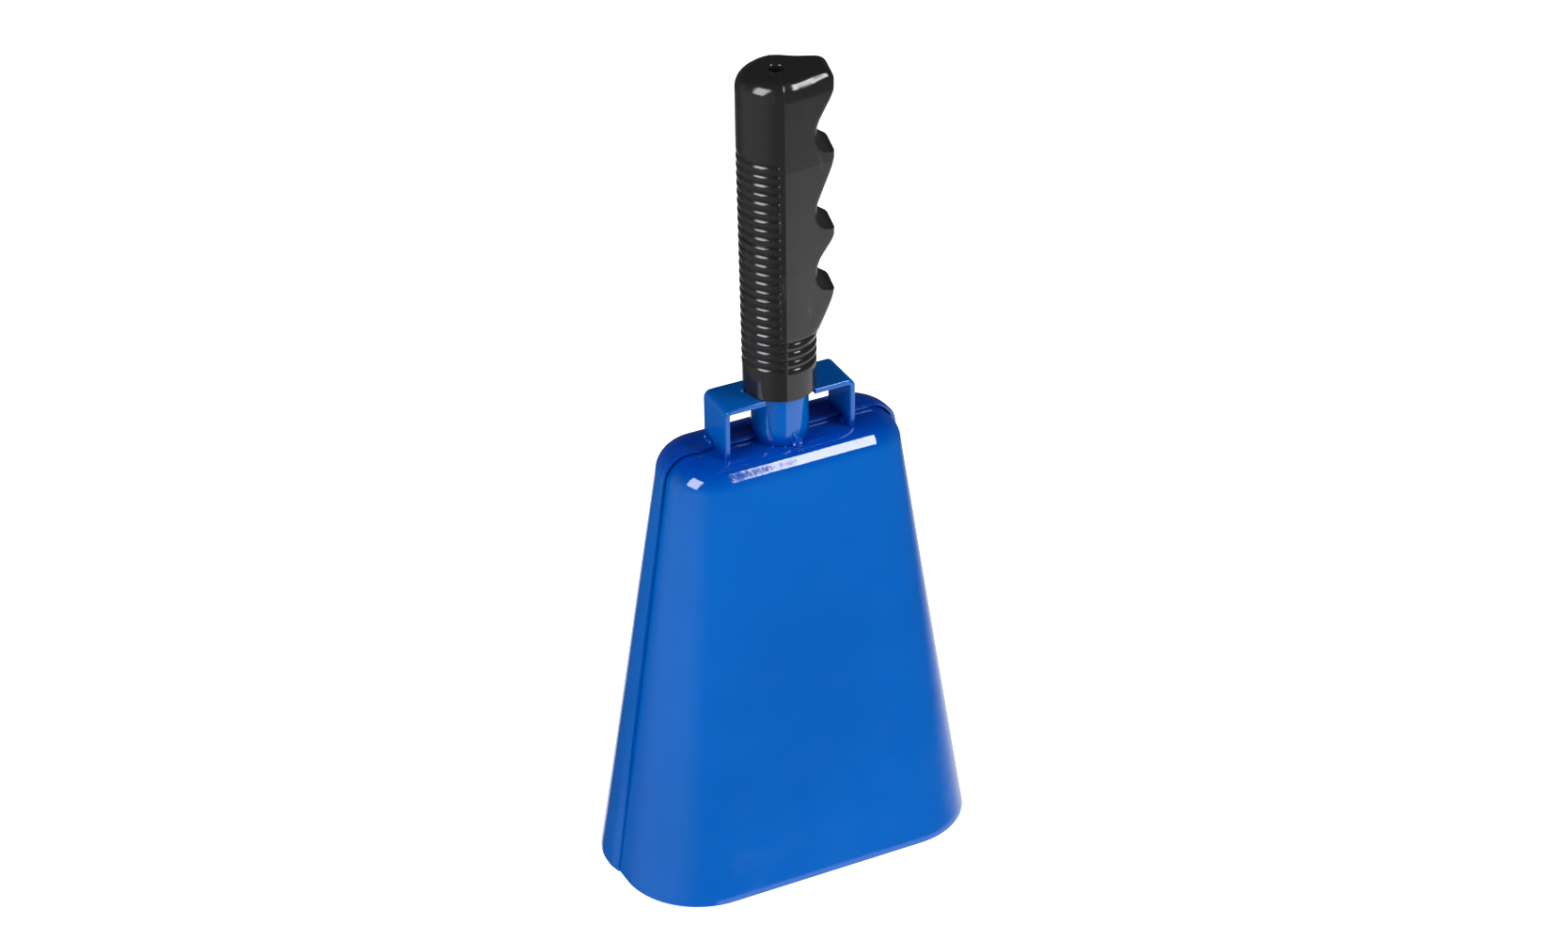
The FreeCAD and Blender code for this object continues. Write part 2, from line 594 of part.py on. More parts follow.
def revolved_cut(body, name, sketch, angle=None):
    """Turns a profile about the grip's axis and removes it, all round or over an angle."""
    before = body.Shape.Volume
    feature = body.newObject("PartDesign::Groove", name)
    feature.Profile = sketch
    feature.ReferenceAxis = (sketch, ["V_Axis"])
    feature.Angle = 360
    if angle:
        feature.Midplane = True
        feature.setExpression("Angle", angle)
    doc.recompute()
    if not body.Shape.Volume < before:
        raise RuntimeError(f"{name} removes nothing")
    return feature


def heel_cut(body):
    """Trims the wedge back to the round collar below the first lip, along a cone."""
    sketch = new_sketch(body, "heel_side", plane="XZ_Plane")
    taper = f"({PALM_HIGH} - {PALM_LOW})"
    collar = f"({PALM_LOW} + {taper} * sizes.heel_start / sizes.taper_end)"
    crest = "(sizes.heel_lip - sizes.crest_flat)"
    outer = f"({GRIP_REACH} + {CUT_SPARE})"
    points = [
        (PALM_LOW, "0"),
        (outer, "0"),
        (outer, crest),
        (GRIP_REACH, crest),
        (collar, "sizes.heel_start"),
    ]
    places = [(value(x), value(z)) for x, z in points]
    count = len(points)
    sides = [line(sketch, places[i], places[(i + 1) % count]) for i in range(count)]
    for i, (x, z) in enumerate(points):
        join(sketch, "Coincident", (sides[i], 2), (sides[(i + 1) % count], 1))
        dimension(sketch, f"across_{i}", x, "DistanceX", -1, 1, sides[i], 1)
        if z == "0":
            sketch.addConstraint(Sketcher.Constraint("PointOnObject", sides[i], 1, -1))
        else:
            dimension(sketch, f"up_{i}", z, "DistanceY", -1, 1, sides[i], 1)
    revolved_cut(body, "heel_ramp", sketch)


def rib_grooves(body, name, first, count, angle=None):
    """A row of equal grooves between the ribs, all round or on the palm side only."""
    sketch = new_sketch(body, f"{name}_profile", plane="XZ_Plane")
    floor = f"-({BORE_RADIUS} + sizes.rib_floor)"
    outer = f"-({PALM_HIGH} + {CUT_SPARE})"
    rectangle(sketch, outer, floor, first, f"{first} + sizes.rib_slot")
    groove = revolved_cut(body, f"{name}_first", sketch, angle)
    row = body.newObject("PartDesign::LinearPattern", name)
    row.Originals = [groove]
    row.Direction = (sketch, ["V_Axis"])
    row.setExpression("Length", f"{count - 1} * sizes.rib_pitch")
    row.Occurrences = count
    body.Tip = row
    doc.recompute()


def make_grip():
    body = new_body("grip_body")
    head_plan = new_sketch(body, "grip_head_plan", lift="sizes.taper_end")
    teardrop(head_plan, PALM_HIGH)
    head = pad(body, "grip_head", head_plan, f"{GRIP_LENGTH} - sizes.taper_end")
    round_top(body, "grip_top_round", head, "min(sizes.grip_round; 0.95 * sizes.grip_tip)")
    base_plan = new_sketch(body, "grip_base_plan")
    teardrop(base_plan, PALM_LOW)
    taper_plan = new_sketch(body, "grip_taper_plan", lift="sizes.taper_end")
    teardrop(taper_plan, PALM_HIGH)
    loft(body, "grip_taper", base_plan, [taper_plan], ruled=True)
    heel_cut(body)
    finger_groove(body, "ring_groove", "sizes.heel_lip", f"{RING_LIP} - sizes.crest_flat")
    finger_groove(body, "middle_groove", RING_LIP, f"{MIDDLE_LIP} - sizes.crest_flat")
    finger_groove(body, "index_groove", MIDDLE_LIP, f"{TOP_CREST} - sizes.crest_flat")
    rib_grooves(body, "ring_ribs", "sizes.rib_start", RING_RIBS)
    rib_grooves(
        body, "palm_ribs", f"sizes.rib_start + {RING_RIBS} * sizes.rib_pitch", PALM_RIBS,
        "180 - 2 * sizes.rib_margin",
    )
    bore = new_sketch(body, "grip_bore_circle")
    circle(bore, "bore", BORE_RADIUS)
    pocket(body, "grip_bore", bore, f"{GRIP_LENGTH} - sizes.grip_top_wall", reverse=True)
    hole = new_sketch(body, "lanyard_circle")
    circle(hole, "hole", "sizes.lanyard_hole / 2")
    pocket(body, "lanyard_cut", hole, f"{GRIP_LENGTH} + {CUT_SPARE}", reverse=True)
    body.Placement = Placement(Vector(0, 0, 0), Rotation(Vector(0, 0, 1), -value("sizes.grip_twist")))
    body.setExpression("Placement.Base.z", GRIP_BASE)
    return node(body, "hand_grip")


# -------------------------------------------------------------------------------------- clapper
def make_staple():
    """A U of wire under the crown. Its bar runs along X."""
    body = new_body("staple_body")
    path = new_sketch(body, "staple_path", plane="XZ_Plane")
    half = value("sizes.staple_span") / 2
    bend = value("sizes.staple_bend")
    top = value(INNER_CROWN)
    bar = value(STAPLE_BAR)
    left = line(path, (-half, top), (-half, bar + bend))
    left_bend = arc(path, (-half + bend, bar + bend), bend, 180, 270)
    middle = line(path, (-half + bend, bar), (half - bend, bar))
    right_bend = arc(path, (half - bend, bar + bend), bend, 270, 360)
    right = line(path, (half, bar + bend), (half, top))
    run = [left, left_bend, middle, right_bend, right]
    for current, following in zip(run, run[1:]):
        join(path, "Tangent", (current, 2), (following, 1))
    path.addConstraint(Sketcher.Constraint("Vertical", left))
    path.addConstraint(Sketcher.Constraint("Horizontal", middle))
    path.addConstraint(Sketcher.Constraint("Equal", left_bend, right_bend))
    path.addConstraint(Sketcher.Constraint("Symmetric", left, 1, right, 2, -2))
    dimension(path, "half_span", "sizes.staple_span / 2", "DistanceX", -1, 1, right, 2)
    dimension(path, "top", INNER_CROWN, "DistanceY", -1, 1, right, 2)
    dimension(path, "bar_level", STAPLE_BAR, "DistanceY", -1, 1, middle, 1)
    dimension(path, "bend", "sizes.staple_bend", "Radius", left_bend)
    section = new_sketch(body, "staple_section", lift=INNER_CROWN)
    ring = section.addGeometry(
        Part.Circle(Vector(-half, 0, 0), Vector(0, 0, 1), value("sizes.staple_wire") / 2), False)
    section.addConstraint(Sketcher.Constraint("PointOnObject", ring, 3, -1))
    dimension(section, "place", "-sizes.staple_span / 2", "DistanceX", -1, 1, ring, 3)
    dimension(section, "wire", "sizes.staple_wire / 2", "Radius", ring)
    sweep(body, "staple_sweep", section, path)
    return node(body, "clapper_staple")


def sweep(body, name, section, path):
    feature = body.newObject("PartDesign::AdditivePipe", name)
    feature.Profile = section
    feature.Spine = (path, [])
    doc.recompute()


def make_staple_welds(staple):
    """A collar of weld round each foot of the staple, against the crown."""
    above = box(
        "above_crown",
        ["-2 * sizes.staple_span", "-2 * sizes.staple_span", INNER_CROWN],
        ["2 * sizes.staple_span", "2 * sizes.staple_span", "2 * sizes.bell_height"],
    )
    collars = []
    for side, name in ((-1, "left"), (1, "right")):
        collars.append(bead(
            f"{name}_staple_bead", (f"{side} * sizes.staple_span / 2", "0", INNER_CROWN),
            "sizes.staple_wire", [above, staple]))
    node(group("staple_collars", collars), "staple_welds")


def make_link():
    """A closed link in the plane that faces X: round over the staple, straight under the eye."""
    body = new_body("link_body")
    path = new_sketch(body, "link_path", plane="YZ_Plane")
    half = value("sizes.link_bend")
    corner = value("sizes.link_corner")
    top = value(LINK_TOP)
    bar = value(LINK_BAR)
    upper = arc(path, (0, top), half, 0, 180)
    left = line(path, (-half, top), (-half, bar + corner))
    left_corner = arc(path, (-half + corner, bar + corner), corner, 180, 270)
    bottom = line(path, (-half + corner, bar), (half - corner, bar))
    right_corner = arc(path, (half - corner, bar + corner), corner, 270, 360)
    right = line(path, (half, bar + corner), (half, top))
    loop = [upper, left, left_corner, bottom, right_corner, right]
    for current, following in zip(loop, loop[1:] + loop[:1]):
        join(path, "Tangent", (current, 2), (following, 1))
    path.addConstraint(Sketcher.Constraint("Horizontal", bottom))
    path.addConstraint(Sketcher.Constraint("Vertical", left))
    path.addConstraint(Sketcher.Constraint("Equal", left_corner, right_corner))
    path.addConstraint(Sketcher.Constraint("PointOnObject", upper, 3, -2))
    path.addConstraint(Sketcher.Constraint("Horizontal", upper, 1, upper, 3))
    dimension(path, "round_top", "sizes.link_bend", "Radius", upper)
    dimension(path, "corner", "sizes.link_corner", "Radius", left_corner)
    dimension(path, "top", LINK_TOP, "DistanceY", -1, 1, upper, 3)
    dimension(path, "bar_level", LINK_BAR, "DistanceY", -1, 1, bottom, 1)
    section = new_sketch(body, "link_section", lift=LINK_TOP)
    ring = section.addGeometry(
        Part.Circle(Vector(0, half, 0), Vector(0, 0, 1), value("sizes.link_wire") / 2), False)
    section.addConstraint(Sketcher.Constraint("PointOnObject", ring, 3, -2))
    dimension(section, "place", "sizes.link_bend", "DistanceY", -1, 1, ring, 3)
    dimension(section, "wire", "sizes.link_wire / 2", "Radius", ring)
    sweep(body, "link_sweep", section, path)
    return node(body, "clapper_link")


def make_clapper_rod():
    """A rod with an eye at the top, in the plane that faces Y, and a riveted head at the bottom."""
    body = new_body("rod_body")
    eye = new_sketch(body, "eye_section", plane="YZ_Plane", shift=EYE_CENTRE)
    circle(eye, "wire", "sizes.eye_wire / 2", up="sizes.eye_bend")
    ring = body.newObject("PartDesign::Revolution", "eye_ring")
    ring.Profile = eye
    ring.ReferenceAxis = (eye, ["H_Axis"])
    ring.Angle = 360
    doc.recompute()
    shank = new_sketch(body, "rod_circle", lift=BALL_BOTTOM)
    circle(shank, "rod", "sizes.rod_diameter / 2")
    # The rod runs a quarter of the wire's thickness past the middle of the eye's wire.
    rod_top = f"({EYE_CENTRE} - sizes.eye_bend + sizes.eye_wire / 4)"
    pad(body, "rod_length", shank, f"{rod_top} - {BALL_BOTTOM}")
    head = new_sketch(body, "rod_head_circle", lift=f"{BALL_BOTTOM} - sizes.rod_head_height")
    circle(head, "head", "sizes.rod_head / 2")
    pad(body, "rod_rivet", head, "sizes.rod_head_height")
    return node(body, "clapper_rod")


def make_ball():
    """A ball with a flat at each end of the bore that the rod runs through."""
    body = new_body("ball_body")
    profile = new_sketch(body, "ball_profile", plane="XZ_Plane", shift="sizes.ball_height")
    radius = value("sizes.ball_diameter / 2")
    bore = value("sizes.rod_diameter / 2 + sizes.ball_fit")
    flat = radius - value("sizes.ball_flat")
    turn = math.degrees(math.asin(flat / radius))
    edge = math.sqrt(radius ** 2 - flat ** 2)
    outside = arc(profile, (0, 0), radius, -turn, turn)
    top = line(profile, (edge, flat), (bore, flat))
    wall = line(profile, (bore, flat), (bore, -flat))
    bottom = line(profile, (bore, -flat), (edge, -flat))
    loop = [outside, top, wall, bottom]
    for current, following in zip(loop, loop[1:] + loop[:1]):
        join(profile, "Coincident", (current, 2), (following, 1))
    profile.addConstraint(Sketcher.Constraint("Coincident", outside, 3, -1, 1))
    for level in (top, bottom):
        profile.addConstraint(Sketcher.Constraint("Horizontal", level))
    profile.addConstraint(Sketcher.Constraint("Symmetric", wall, 1, wall, 2, -1))
    dimension(profile, "ball", "sizes.ball_diameter / 2", "Radius", outside)
    dimension(profile, "bore", "sizes.rod_diameter / 2 + sizes.ball_fit", "DistanceX", -1, 1, wall, 1)
    dimension(profile, "flat", "sizes.ball_diameter / 2 - sizes.ball_flat", "DistanceY", -1, 1, wall, 1)
    turned = body.newObject("PartDesign::Revolution", "ball_turned")
    turned.Profile = profile
    turned.ReferenceAxis = (profile, ["V_Axis"])
    turned.Angle = 360
    doc.recompute()
    return node(body, "clapper_ball")


# ----------------------------------------------------------------------------- build and write
def check_and_write():
    doc.recompute()
    for feature in doc.Objects:
        if "Invalid" in feature.State or "Error" in feature.State:
            raise RuntimeError(f"{feature.Label} is {feature.State}")
    for feature in nodes:
        if feature.Shape.isNull() or not feature.Shape.isValid():
            raise RuntimeError(f"{feature.Label} has no valid shape")
    os.makedirs("parts", exist_ok=True)
    for feature in nodes:
        feature.Shape.exportStep(f"parts/{feature.Label}.step")
        size = feature.Shape.BoundBox
        print(
            f"{feature.Label}: {len(feature.Shape.Solids)} solid(s), "
            f"{size.XLength:.1f} x {size.YLength:.1f} x {size.ZLength:.1f} mm, "
            f"z {size.ZMin:.1f} to {size.ZMax:.1f}"
        )


bell_outside = make_shells()
tube_space = doc.addObject("Part::Cylinder", "tube_space")
tube_space.setExpression("Radius", "sizes.tube_od / 2")
tube_space.setExpression("Height", GRIP_BASE)
make_tube(bell_outside)
bracket_nodes = [
    make_bracket(-1, "left_bracket", "sizes.left_arm_height", bell_outside, tube_space),
    make_bracket(1, "right_bracket", "sizes.right_arm_height", bell_outside, tube_space),
]
doc.recompute()
make_welds(bell_outside, tube_space, bracket_nodes)
make_grip()
staple_node = make_staple()
make_staple_welds(staple_node)
make_link()
make_clapper_rod()
make_ball()
check_and_write()
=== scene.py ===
"""The looks of a stick-handled cheering cowbell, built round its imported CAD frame."""

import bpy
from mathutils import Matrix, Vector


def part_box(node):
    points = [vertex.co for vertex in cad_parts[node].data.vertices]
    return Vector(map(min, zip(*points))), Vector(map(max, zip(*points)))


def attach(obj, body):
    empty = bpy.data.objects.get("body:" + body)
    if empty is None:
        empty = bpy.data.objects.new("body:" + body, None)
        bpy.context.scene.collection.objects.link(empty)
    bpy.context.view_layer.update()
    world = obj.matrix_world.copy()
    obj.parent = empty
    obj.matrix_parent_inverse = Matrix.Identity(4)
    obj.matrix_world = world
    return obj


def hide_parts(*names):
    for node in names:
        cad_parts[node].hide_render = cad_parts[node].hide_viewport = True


bl_info = {
    "name": "Cheering cowbell",
    "version": (1, 0, 0),
    "blender": (4, 5, 0),
    "location": "3D View > Sidebar > Cowbell",
    "description": "Builds a painted steel cowbell with a moulded stick grip and a hanging clapper",
    "category": "Add Mesh",
}

import math

import bmesh
import bpy
from bpy.props import FloatProperty, FloatVectorProperty, PointerProperty
from mathutils import Matrix, Vector, noise

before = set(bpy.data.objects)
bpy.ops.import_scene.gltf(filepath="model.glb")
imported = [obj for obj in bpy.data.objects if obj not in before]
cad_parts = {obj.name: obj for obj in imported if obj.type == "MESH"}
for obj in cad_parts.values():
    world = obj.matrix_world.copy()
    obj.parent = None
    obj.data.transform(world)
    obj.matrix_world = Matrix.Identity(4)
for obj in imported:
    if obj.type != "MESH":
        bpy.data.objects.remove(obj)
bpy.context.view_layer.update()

MM = 0.001
RIGHT_ANGLE = math.pi / 2


# ---------------------------------------------------------------------------------- settings
def length(name, description, millimetres):
    return FloatProperty(
        name=name, description=description, default=millimetres * MM, min=0.0,
        subtype="DISTANCE", unit="LENGTH",
    )


def turn(name, description, degrees):
    return FloatProperty(
        name=name, description=description, default=math.radians(degrees),
        subtype="ANGLE", unit="ROTATION",
    )


def colour(name, description, red, green, blue):
    return FloatVectorProperty(
        name=name, description=description, default=(red, green, blue), min=0.0, max=1.0,
        subtype="COLOR",
    )


class CowbellShellSettings(bpy.types.PropertyGroup):
    mouth_width: length("Mouth width", "Outside width of the bell at its mouth", 127.6)
    mouth_depth: length("Mouth depth", "Outside depth of the bell at its mouth", 66.6)
    mouth_corner: length("Mouth corner", "Plan corner radius at the mouth", 27.0)
    height: length("Height", "Height of the bell from mouth to crown", 157.7)
    crown_width: length("Crown width", "Width where the sides would meet the crown", 82.4)
    crown_depth: length("Crown depth", "Depth where the faces would meet the crown", 33.6)
    crown_corner: length("Crown corner", "Plan corner radius at the crown", 14.6)
    crown_round: length("Crown rounding", "Rounding from the faces into the crown", 8.0)
    wall: length("Sheet", "Thickness of the painted sheet", 1.2)
    lap: length("Lap", "How far the front pressing tucks into the rear one", 6.0)
    lap_inset: length("Lap inset", "Step in at the sides where the pressings lap", 1.3)
    flare: length("Lip flare", "How far the lapped edge stands off at the upper corners", 0.55)


class CowbellHandleSettings(bpy.types.PropertyGroup):
    tube_radius: length("Tube radius", "Outside radius of the handle tube", 9.5)
    strip_width: length("Strip width", "Width of the bracket strips", 16.0)
    strip: length("Strip", "Thickness of the bracket strips", 1.9)
    reach: length("Bracket reach", "From the tube's axis to the outer face of a leg", 23.5)
    bend: length("Bend", "Outside radius of the bracket bends", 2.5)
    left_arm: length("Left arm", "Height of the left arm above the crown", 16.8)
    right_arm: length("Right arm", "Height of the right arm above the crown", 16.4)


class CowbellGripSettings(bpy.types.PropertyGroup):
    base: length("Bottom", "Height of the grip's bottom end", 174.5)
    height: length("Length", "Length of the grip", 113.5)
    palm_low: length("Palm radius low", "Palm radius at the bottom end", 12.0)
    palm_high: length("Palm radius high", "Palm radius where the grip stops widening", 12.95)
    taper_end: length("Taper end", "Height where the palm side stops widening", 83.0)
    crest: length("Crest", "From the axis to the crests between the fingers", 17.6)
    tip: length("Tip corner", "Corner radius of the finger side", 3.2)
    bore: length("Bore", "Radius of the bore for the tube", 9.55)
    groove_floor: length("Groove floor", "From the axis to the deepest line of a groove", 10.85)
    hole: length("Lanyard hole", "Radius of the hole in the closed top", 2.65)
    top_wall: length("Top wall", "Thickness of the closed top", 4.0)
    rib_depth: length("Rib depth", "Depth of the valleys between the ribs", 1.15)
    rib_pitch: length("Rib pitch", "Distance from rib to rib", 3.2)
    wedge: turn("Wedge", "Angle between a flank and the middle plane", 23.5)
    twist: turn("Twist", "Turn of the finger side towards the front", 14.3)


class CowbellFinishSettings(bpy.types.PropertyGroup):
    enamel: colour("Enamel", "Blue enamel of the bell", 0.0, 0.104, 0.445)
    enamel_deep: colour("Enamel, thick", "Blue enamel where it is thicker", 0.0, 0.092, 0.405)
    # Painted shade: the deeper blue painted on the crown, standing in for the shade on the bell's
    # top.
    enamel_crown_shade: colour(
        "Enamel, pooled", "Blue enamel that stood on the crown", 0.0, 0.050, 0.385)
    plastic: colour("Grip", "Black plastic of the grip", 0.014, 0.014, 0.0145)
    zinc: colour("Zinc", "Plated wire of the clapper's loops", 0.52, 0.53, 0.53)
    steel: colour("Steel", "Bare steel of the clapper's ball", 0.40, 0.39, 0.38)


SETTINGS = {
    "cowbell_shell": CowbellShellSettings,
    "cowbell_handle": CowbellHandleSettings,
    "cowbell_grip": CowbellGripSettings,
    "cowbell_finish": CowbellFinishSettings,
}


# --------------------------------------------------------------------------------- materials
class Finish:
    """A material and the few nodes that every finish here shares."""

    def __init__(self, name):
        self.material = bpy.data.materials.new(name)
        self.material.use_nodes = True
        self.tree = self.material.node_tree
        self.shader = self.tree.nodes["Principled BSDF"]
        self.place = self.tree.nodes.new("ShaderNodeTexCoord").outputs["Object"]
        self.normal = None

    def node(self, kind, **values):
        made = self.tree.nodes.new(kind)
        for key, value in values.items():
            setattr(made, key, value)
        return made

    def link(self, output, socket):
        self.tree.links.new(output, socket)

    def set(self, **values):
        for key, value in values.items():
            self.shader.inputs[key.replace("_", " ")].default_value = value

    def noise(self, per_metre, detail=2.0, roughness=0.5, stretch=(1, 1, 1)):
        spread = self.node("ShaderNodeMapping")
        spread.inputs["Scale"].default_value = stretch
        self.link(self.place, spread.inputs["Vector"])
        made = self.node("ShaderNodeTexNoise")
        made.inputs["Scale"].default_value = per_metre
        made.inputs["Detail"].default_value = detail
        made.inputs["Roughness"].default_value = roughness
        self.link(spread.outputs["Vector"], made.inputs["Vector"])
        return made.outputs["Fac"]

    def specks(self, per_metre, size, share):
        """Round specks in a share of the cells: 1 at a speck's middle, 0 outside it."""
        cells = self.node("ShaderNodeTexVoronoi")
        cells.inputs["Scale"].default_value = per_metre
        self.link(self.place, cells.inputs["Vector"])
        dot = self.ramp(cells.outputs["Distance"], (0.0, 1.0), (size, 0.0))
        parts = self.node("ShaderNodeSeparateColor")
        self.link(cells.outputs["Color"], parts.inputs["Color"])
        chosen = self.math("LESS_THAN", parts.outputs["Red"], share)
        return self.math("MULTIPLY", dot, chosen)

    def ramp(self, value, low, high):
        """Maps value from low's place to high's place, with the results that go with them."""
        made = self.node("ShaderNodeMapRange")
        made.inputs["From Min"].default_value = low[0]
        made.inputs["From Max"].default_value = high[0]
        made.inputs["To Min"].default_value = low[1]
        made.inputs["To Max"].default_value = high[1]
        self.link(value, made.inputs["Value"])
        return made.outputs["Result"]

    def math(self, operation, first, second):
        made = self.node("ShaderNodeMath", operation=operation)
        for socket, value in zip(made.inputs, (first, second)):
            if isinstance(value, (int, float)):
                socket.default_value = value
            else:
                self.link(value, socket)
        return made.outputs["Value"]

    def mix(self, factor, first, second):
        made = self.node("ShaderNodeMix", data_type="RGBA")
        self.link(factor, made.inputs["Factor"])
        for socket, value in zip((made.inputs[6], made.inputs[7]), (first, second)):
            if isinstance(value, bpy.types.NodeSocket):
                self.link(value, socket)
            else:
                socket.default_value = (*value, 1.0)
        return made.outputs[2]

    def bump(self, height, millimetres, strength=1.0):
        made = self.node("ShaderNodeBump")
        made.inputs["Distance"].default_value = millimetres * MM
        made.inputs["Strength"].default_value = strength
        self.link(height, made.inputs["Height"])
        if self.normal is not None:
            self.link(self.normal, made.inputs["Normal"])
        self.normal = made.outputs["Normal"]

    def finish(self, base_colour, roughness):
        self.link(base_colour, self.shader.inputs["Base Color"])
        self.link(roughness, self.shader.inputs["Roughness"])
        self.link(self.normal, self.shader.inputs["Normal"])
        return self.material


def shade(rgb, factor):
    return tuple(min(1.0, channel * factor) for channel in rgb)


# Heights, in metres, between which the painted crown shade comes in over the walls and fades out up
# the handle.
CROWN_SHADE_STARTS = (0.1500, 0.1560)
CROWN_SHADE_ENDS = (0.1582, 0.1610)
DUST_BLUE = (0.05, 0.25, 0.72)
PIT_BROWN = (0.09, 0.065, 0.05)


def painted_crown_shade(made):
    """Painted shade: 1 on the crown, which is painted a deeper blue to stand in for the shade on
    the top; 0 on the walls and the handle.
    """
    parts = made.node("ShaderNodeSeparateXYZ")
    made.link(made.place, parts.inputs["Vector"])
    height = parts.outputs["Z"]
    over_walls = made.ramp(height, (CROWN_SHADE_STARTS[0], 0.0), (CROWN_SHADE_STARTS[1], 1.0))
    under_handle = made.ramp(height, (CROWN_SHADE_ENDS[0], 1.0), (CROWN_SHADE_ENDS[1], 0.0))
    return made.math("MULTIPLY", over_walls, under_handle)


def enamel(name, waviness, nibs):
    """Glossy sprayed enamel: long waves, fine orange peel, dust caught in the paint, and painted
    shade on the crown.
    """
    colours = bpy.context.scene.cowbell_finish
    made = Finish(name)
    cloud = made.ramp(made.noise(16.0, 3.0, 0.55), (0.35, 0.0), (0.65, 1.0))
    base = made.mix(cloud, tuple(colours.enamel_deep), tuple(colours.enamel))
    # Painted shade: the crown and the feet of the handle get a deeper blue by height, standing in
    # for the shade on the top.
    base = made.mix(painted_crown_shade(made), base, tuple(colours.enamel_crown_shade))
    dust = made.specks(150.0, 0.05, nibs)
    fine_dust = made.specks(420.0, 0.07, nibs * 0.6)
    base = made.mix(made.ramp(dust, (0.0, 0.0), (1.0, 0.45)), base, DUST_BLUE)
    made.bump(made.noise(42.0, 2.0, 0.5), waviness)
    made.bump(made.noise(420.0, 2.0, 0.5), 0.014)
    made.bump(made.noise(1300.0, 2.0, 0.5), 0.004)
    made.bump(dust, 0.16)
    made.bump(fine_dust, 0.08)
    made.set(Specular_IOR_Level=0.8, IOR=1.5)
    rough = made.ramp(made.noise(90.0, 4.0, 0.6), (0.3, 0.035), (0.7, 0.085))
    return made.finish(base, rough)


def black_plastic():
    """Injection-moulded plastic: glossy, with faint flow marks, fine scuffs and light dust."""
    colours = bpy.context.scene.cowbell_finish
    made = Finish("black_plastic_gloss")
    black = tuple(colours.plastic)
    scuffs = made.ramp(made.noise(220.0, 6.0, 0.7, (1, 1, 0.25)), (0.62, 0.0), (0.78, 1.0))
    dust = made.specks(330.0, 0.10, 0.10)
    scuffed = made.math("MULTIPLY", scuffs, 0.35)
    dusty = made.math("MULTIPLY", dust, 0.9)
    worn = made.math("MAXIMUM", scuffed, dusty)
    base = made.mix(worn, black, shade(black, 7.0))
    made.bump(made.noise(30.0, 2.0, 0.5, (1, 1, 0.35)), 0.12)
    made.bump(made.noise(2400.0, 2.0, 0.6), 0.004)
    made.bump(dust, 0.03)
    made.set(Specular_IOR_Level=0.7)
    grain = made.ramp(made.noise(110.0, 5.0, 0.65), (0.3, 0.10), (0.7, 0.19))
    rough = made.math("ADD", grain, made.math("MULTIPLY", worn, 0.25))
    return made.finish(base, rough)


def bare_metal(name, rgb, rough_low, rough_high, draw):
    """Metal with drawing or turning marks, dull patches and a few dark pits."""
    made = Finish(name)
    patches = made.ramp(made.noise(140.0, 5.0, 0.65), (0.35, 0.0), (0.7, 1.0))
    pits = made.specks(520.0, 0.16, 0.12)
    base = made.mix(patches, rgb, shade(rgb, 0.62))
    base = made.mix(made.math("MULTIPLY", pits, 0.7), base, PIT_BROWN)
    made.bump(made.noise(800.0, 3.0, 0.6, draw), 0.02)
    made.bump(pits, -0.05)
    made.set(Metallic=1.0)
    rough = made.ramp(patches, (0.0, rough_low), (1.0, rough_high))
    return made.finish(base, rough)


def zinc_plate():
    zinc = tuple(bpy.context.scene.cowbell_finish.zinc)
    return bare_metal("zinc_plated", zinc, 0.30, 0.50, (1, 1, 0.1))


def turned_steel():
    steel = tuple(bpy.context.scene.cowbell_finish.steel)
    return bare_metal("turned_steel", steel, 0.26, 0.46, (0.1, 0.1, 1))


FINISH_MAKERS = {
    "blue_enamel": lambda: enamel("blue_enamel_gloss", 0.10, 0.16),
    "painted_weld": lambda: enamel("painted_weld_gloss", 0.16, 0.30),
    "painted_wire": lambda: enamel("painted_wire_gloss", 0.05, 0.20),
    "black_plastic": black_plastic,
    "zinc_wire": zinc_plate,
    "ball_steel": turned_steel,
}
finishes = {}


def finish_for(slot):
    """The material of one of the record's slots, made when it is first asked for."""
    if slot not in finishes:
        finishes[slot] = FINISH_MAKERS[slot]()
    return finishes[slot]


# -------------------------------------------------------------------------------- mesh helpers
def add_piece(name, mesh, slot, body, stands_for=()):
    """Puts a mesh in the scene as a piece of the bell, with its finish, body and CAD nodes."""
    piece = bpy.data.objects.new(name, mesh)
    bpy.context.scene.collection.objects.link(piece)
    mesh.materials.clear()
    mesh.materials.append(finish_for(slot))
    mesh.shade_smooth()
    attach(piece, body)
    if stands_for:
        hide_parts(*stands_for)
    return piece


SAME_POINT = 0.002 * MM


def mesh_from_rings(name, rings, closed_round, closed_ends=False):
    """A mesh of quads between rings that all have the same number of points."""
    count = len(rings[0])
    points = [point for ring in rings for point in ring]
    faces = []
    bands = len(rings) if closed_ends else len(rings) - 1
    for band in range(bands):
        low, high = band * count, (band + 1) % len(rings) * count
        for i in range(count if closed_round else count - 1):
            j = (i + 1) % count
            faces.append((low + i, low + j, high + j, high + i))
    mesh = bpy.data.meshes.new(name)
    mesh.from_pydata(points, [], faces)
    made = bmesh.new()
    made.from_mesh(mesh)
    bmesh.ops.remove_doubles(made, verts=made.verts, dist=SAME_POINT)
    bmesh.ops.recalc_face_normals(made, faces=made.faces)
    made.to_mesh(mesh)
    made.free()
    mesh.update()
    return mesh


def soft_min(first, second, radius):
    """The lower of two values, with the corner between them rounded."""
    share = max(radius - abs(first - second), 0.0) / radius
    return min(first, second) - share * share * radius / 4


def smooth_step(low, high, value):
    share = min(1.0, max(0.0, (value - low) / (high - low)))
    return share * share * (3 - 2 * share)


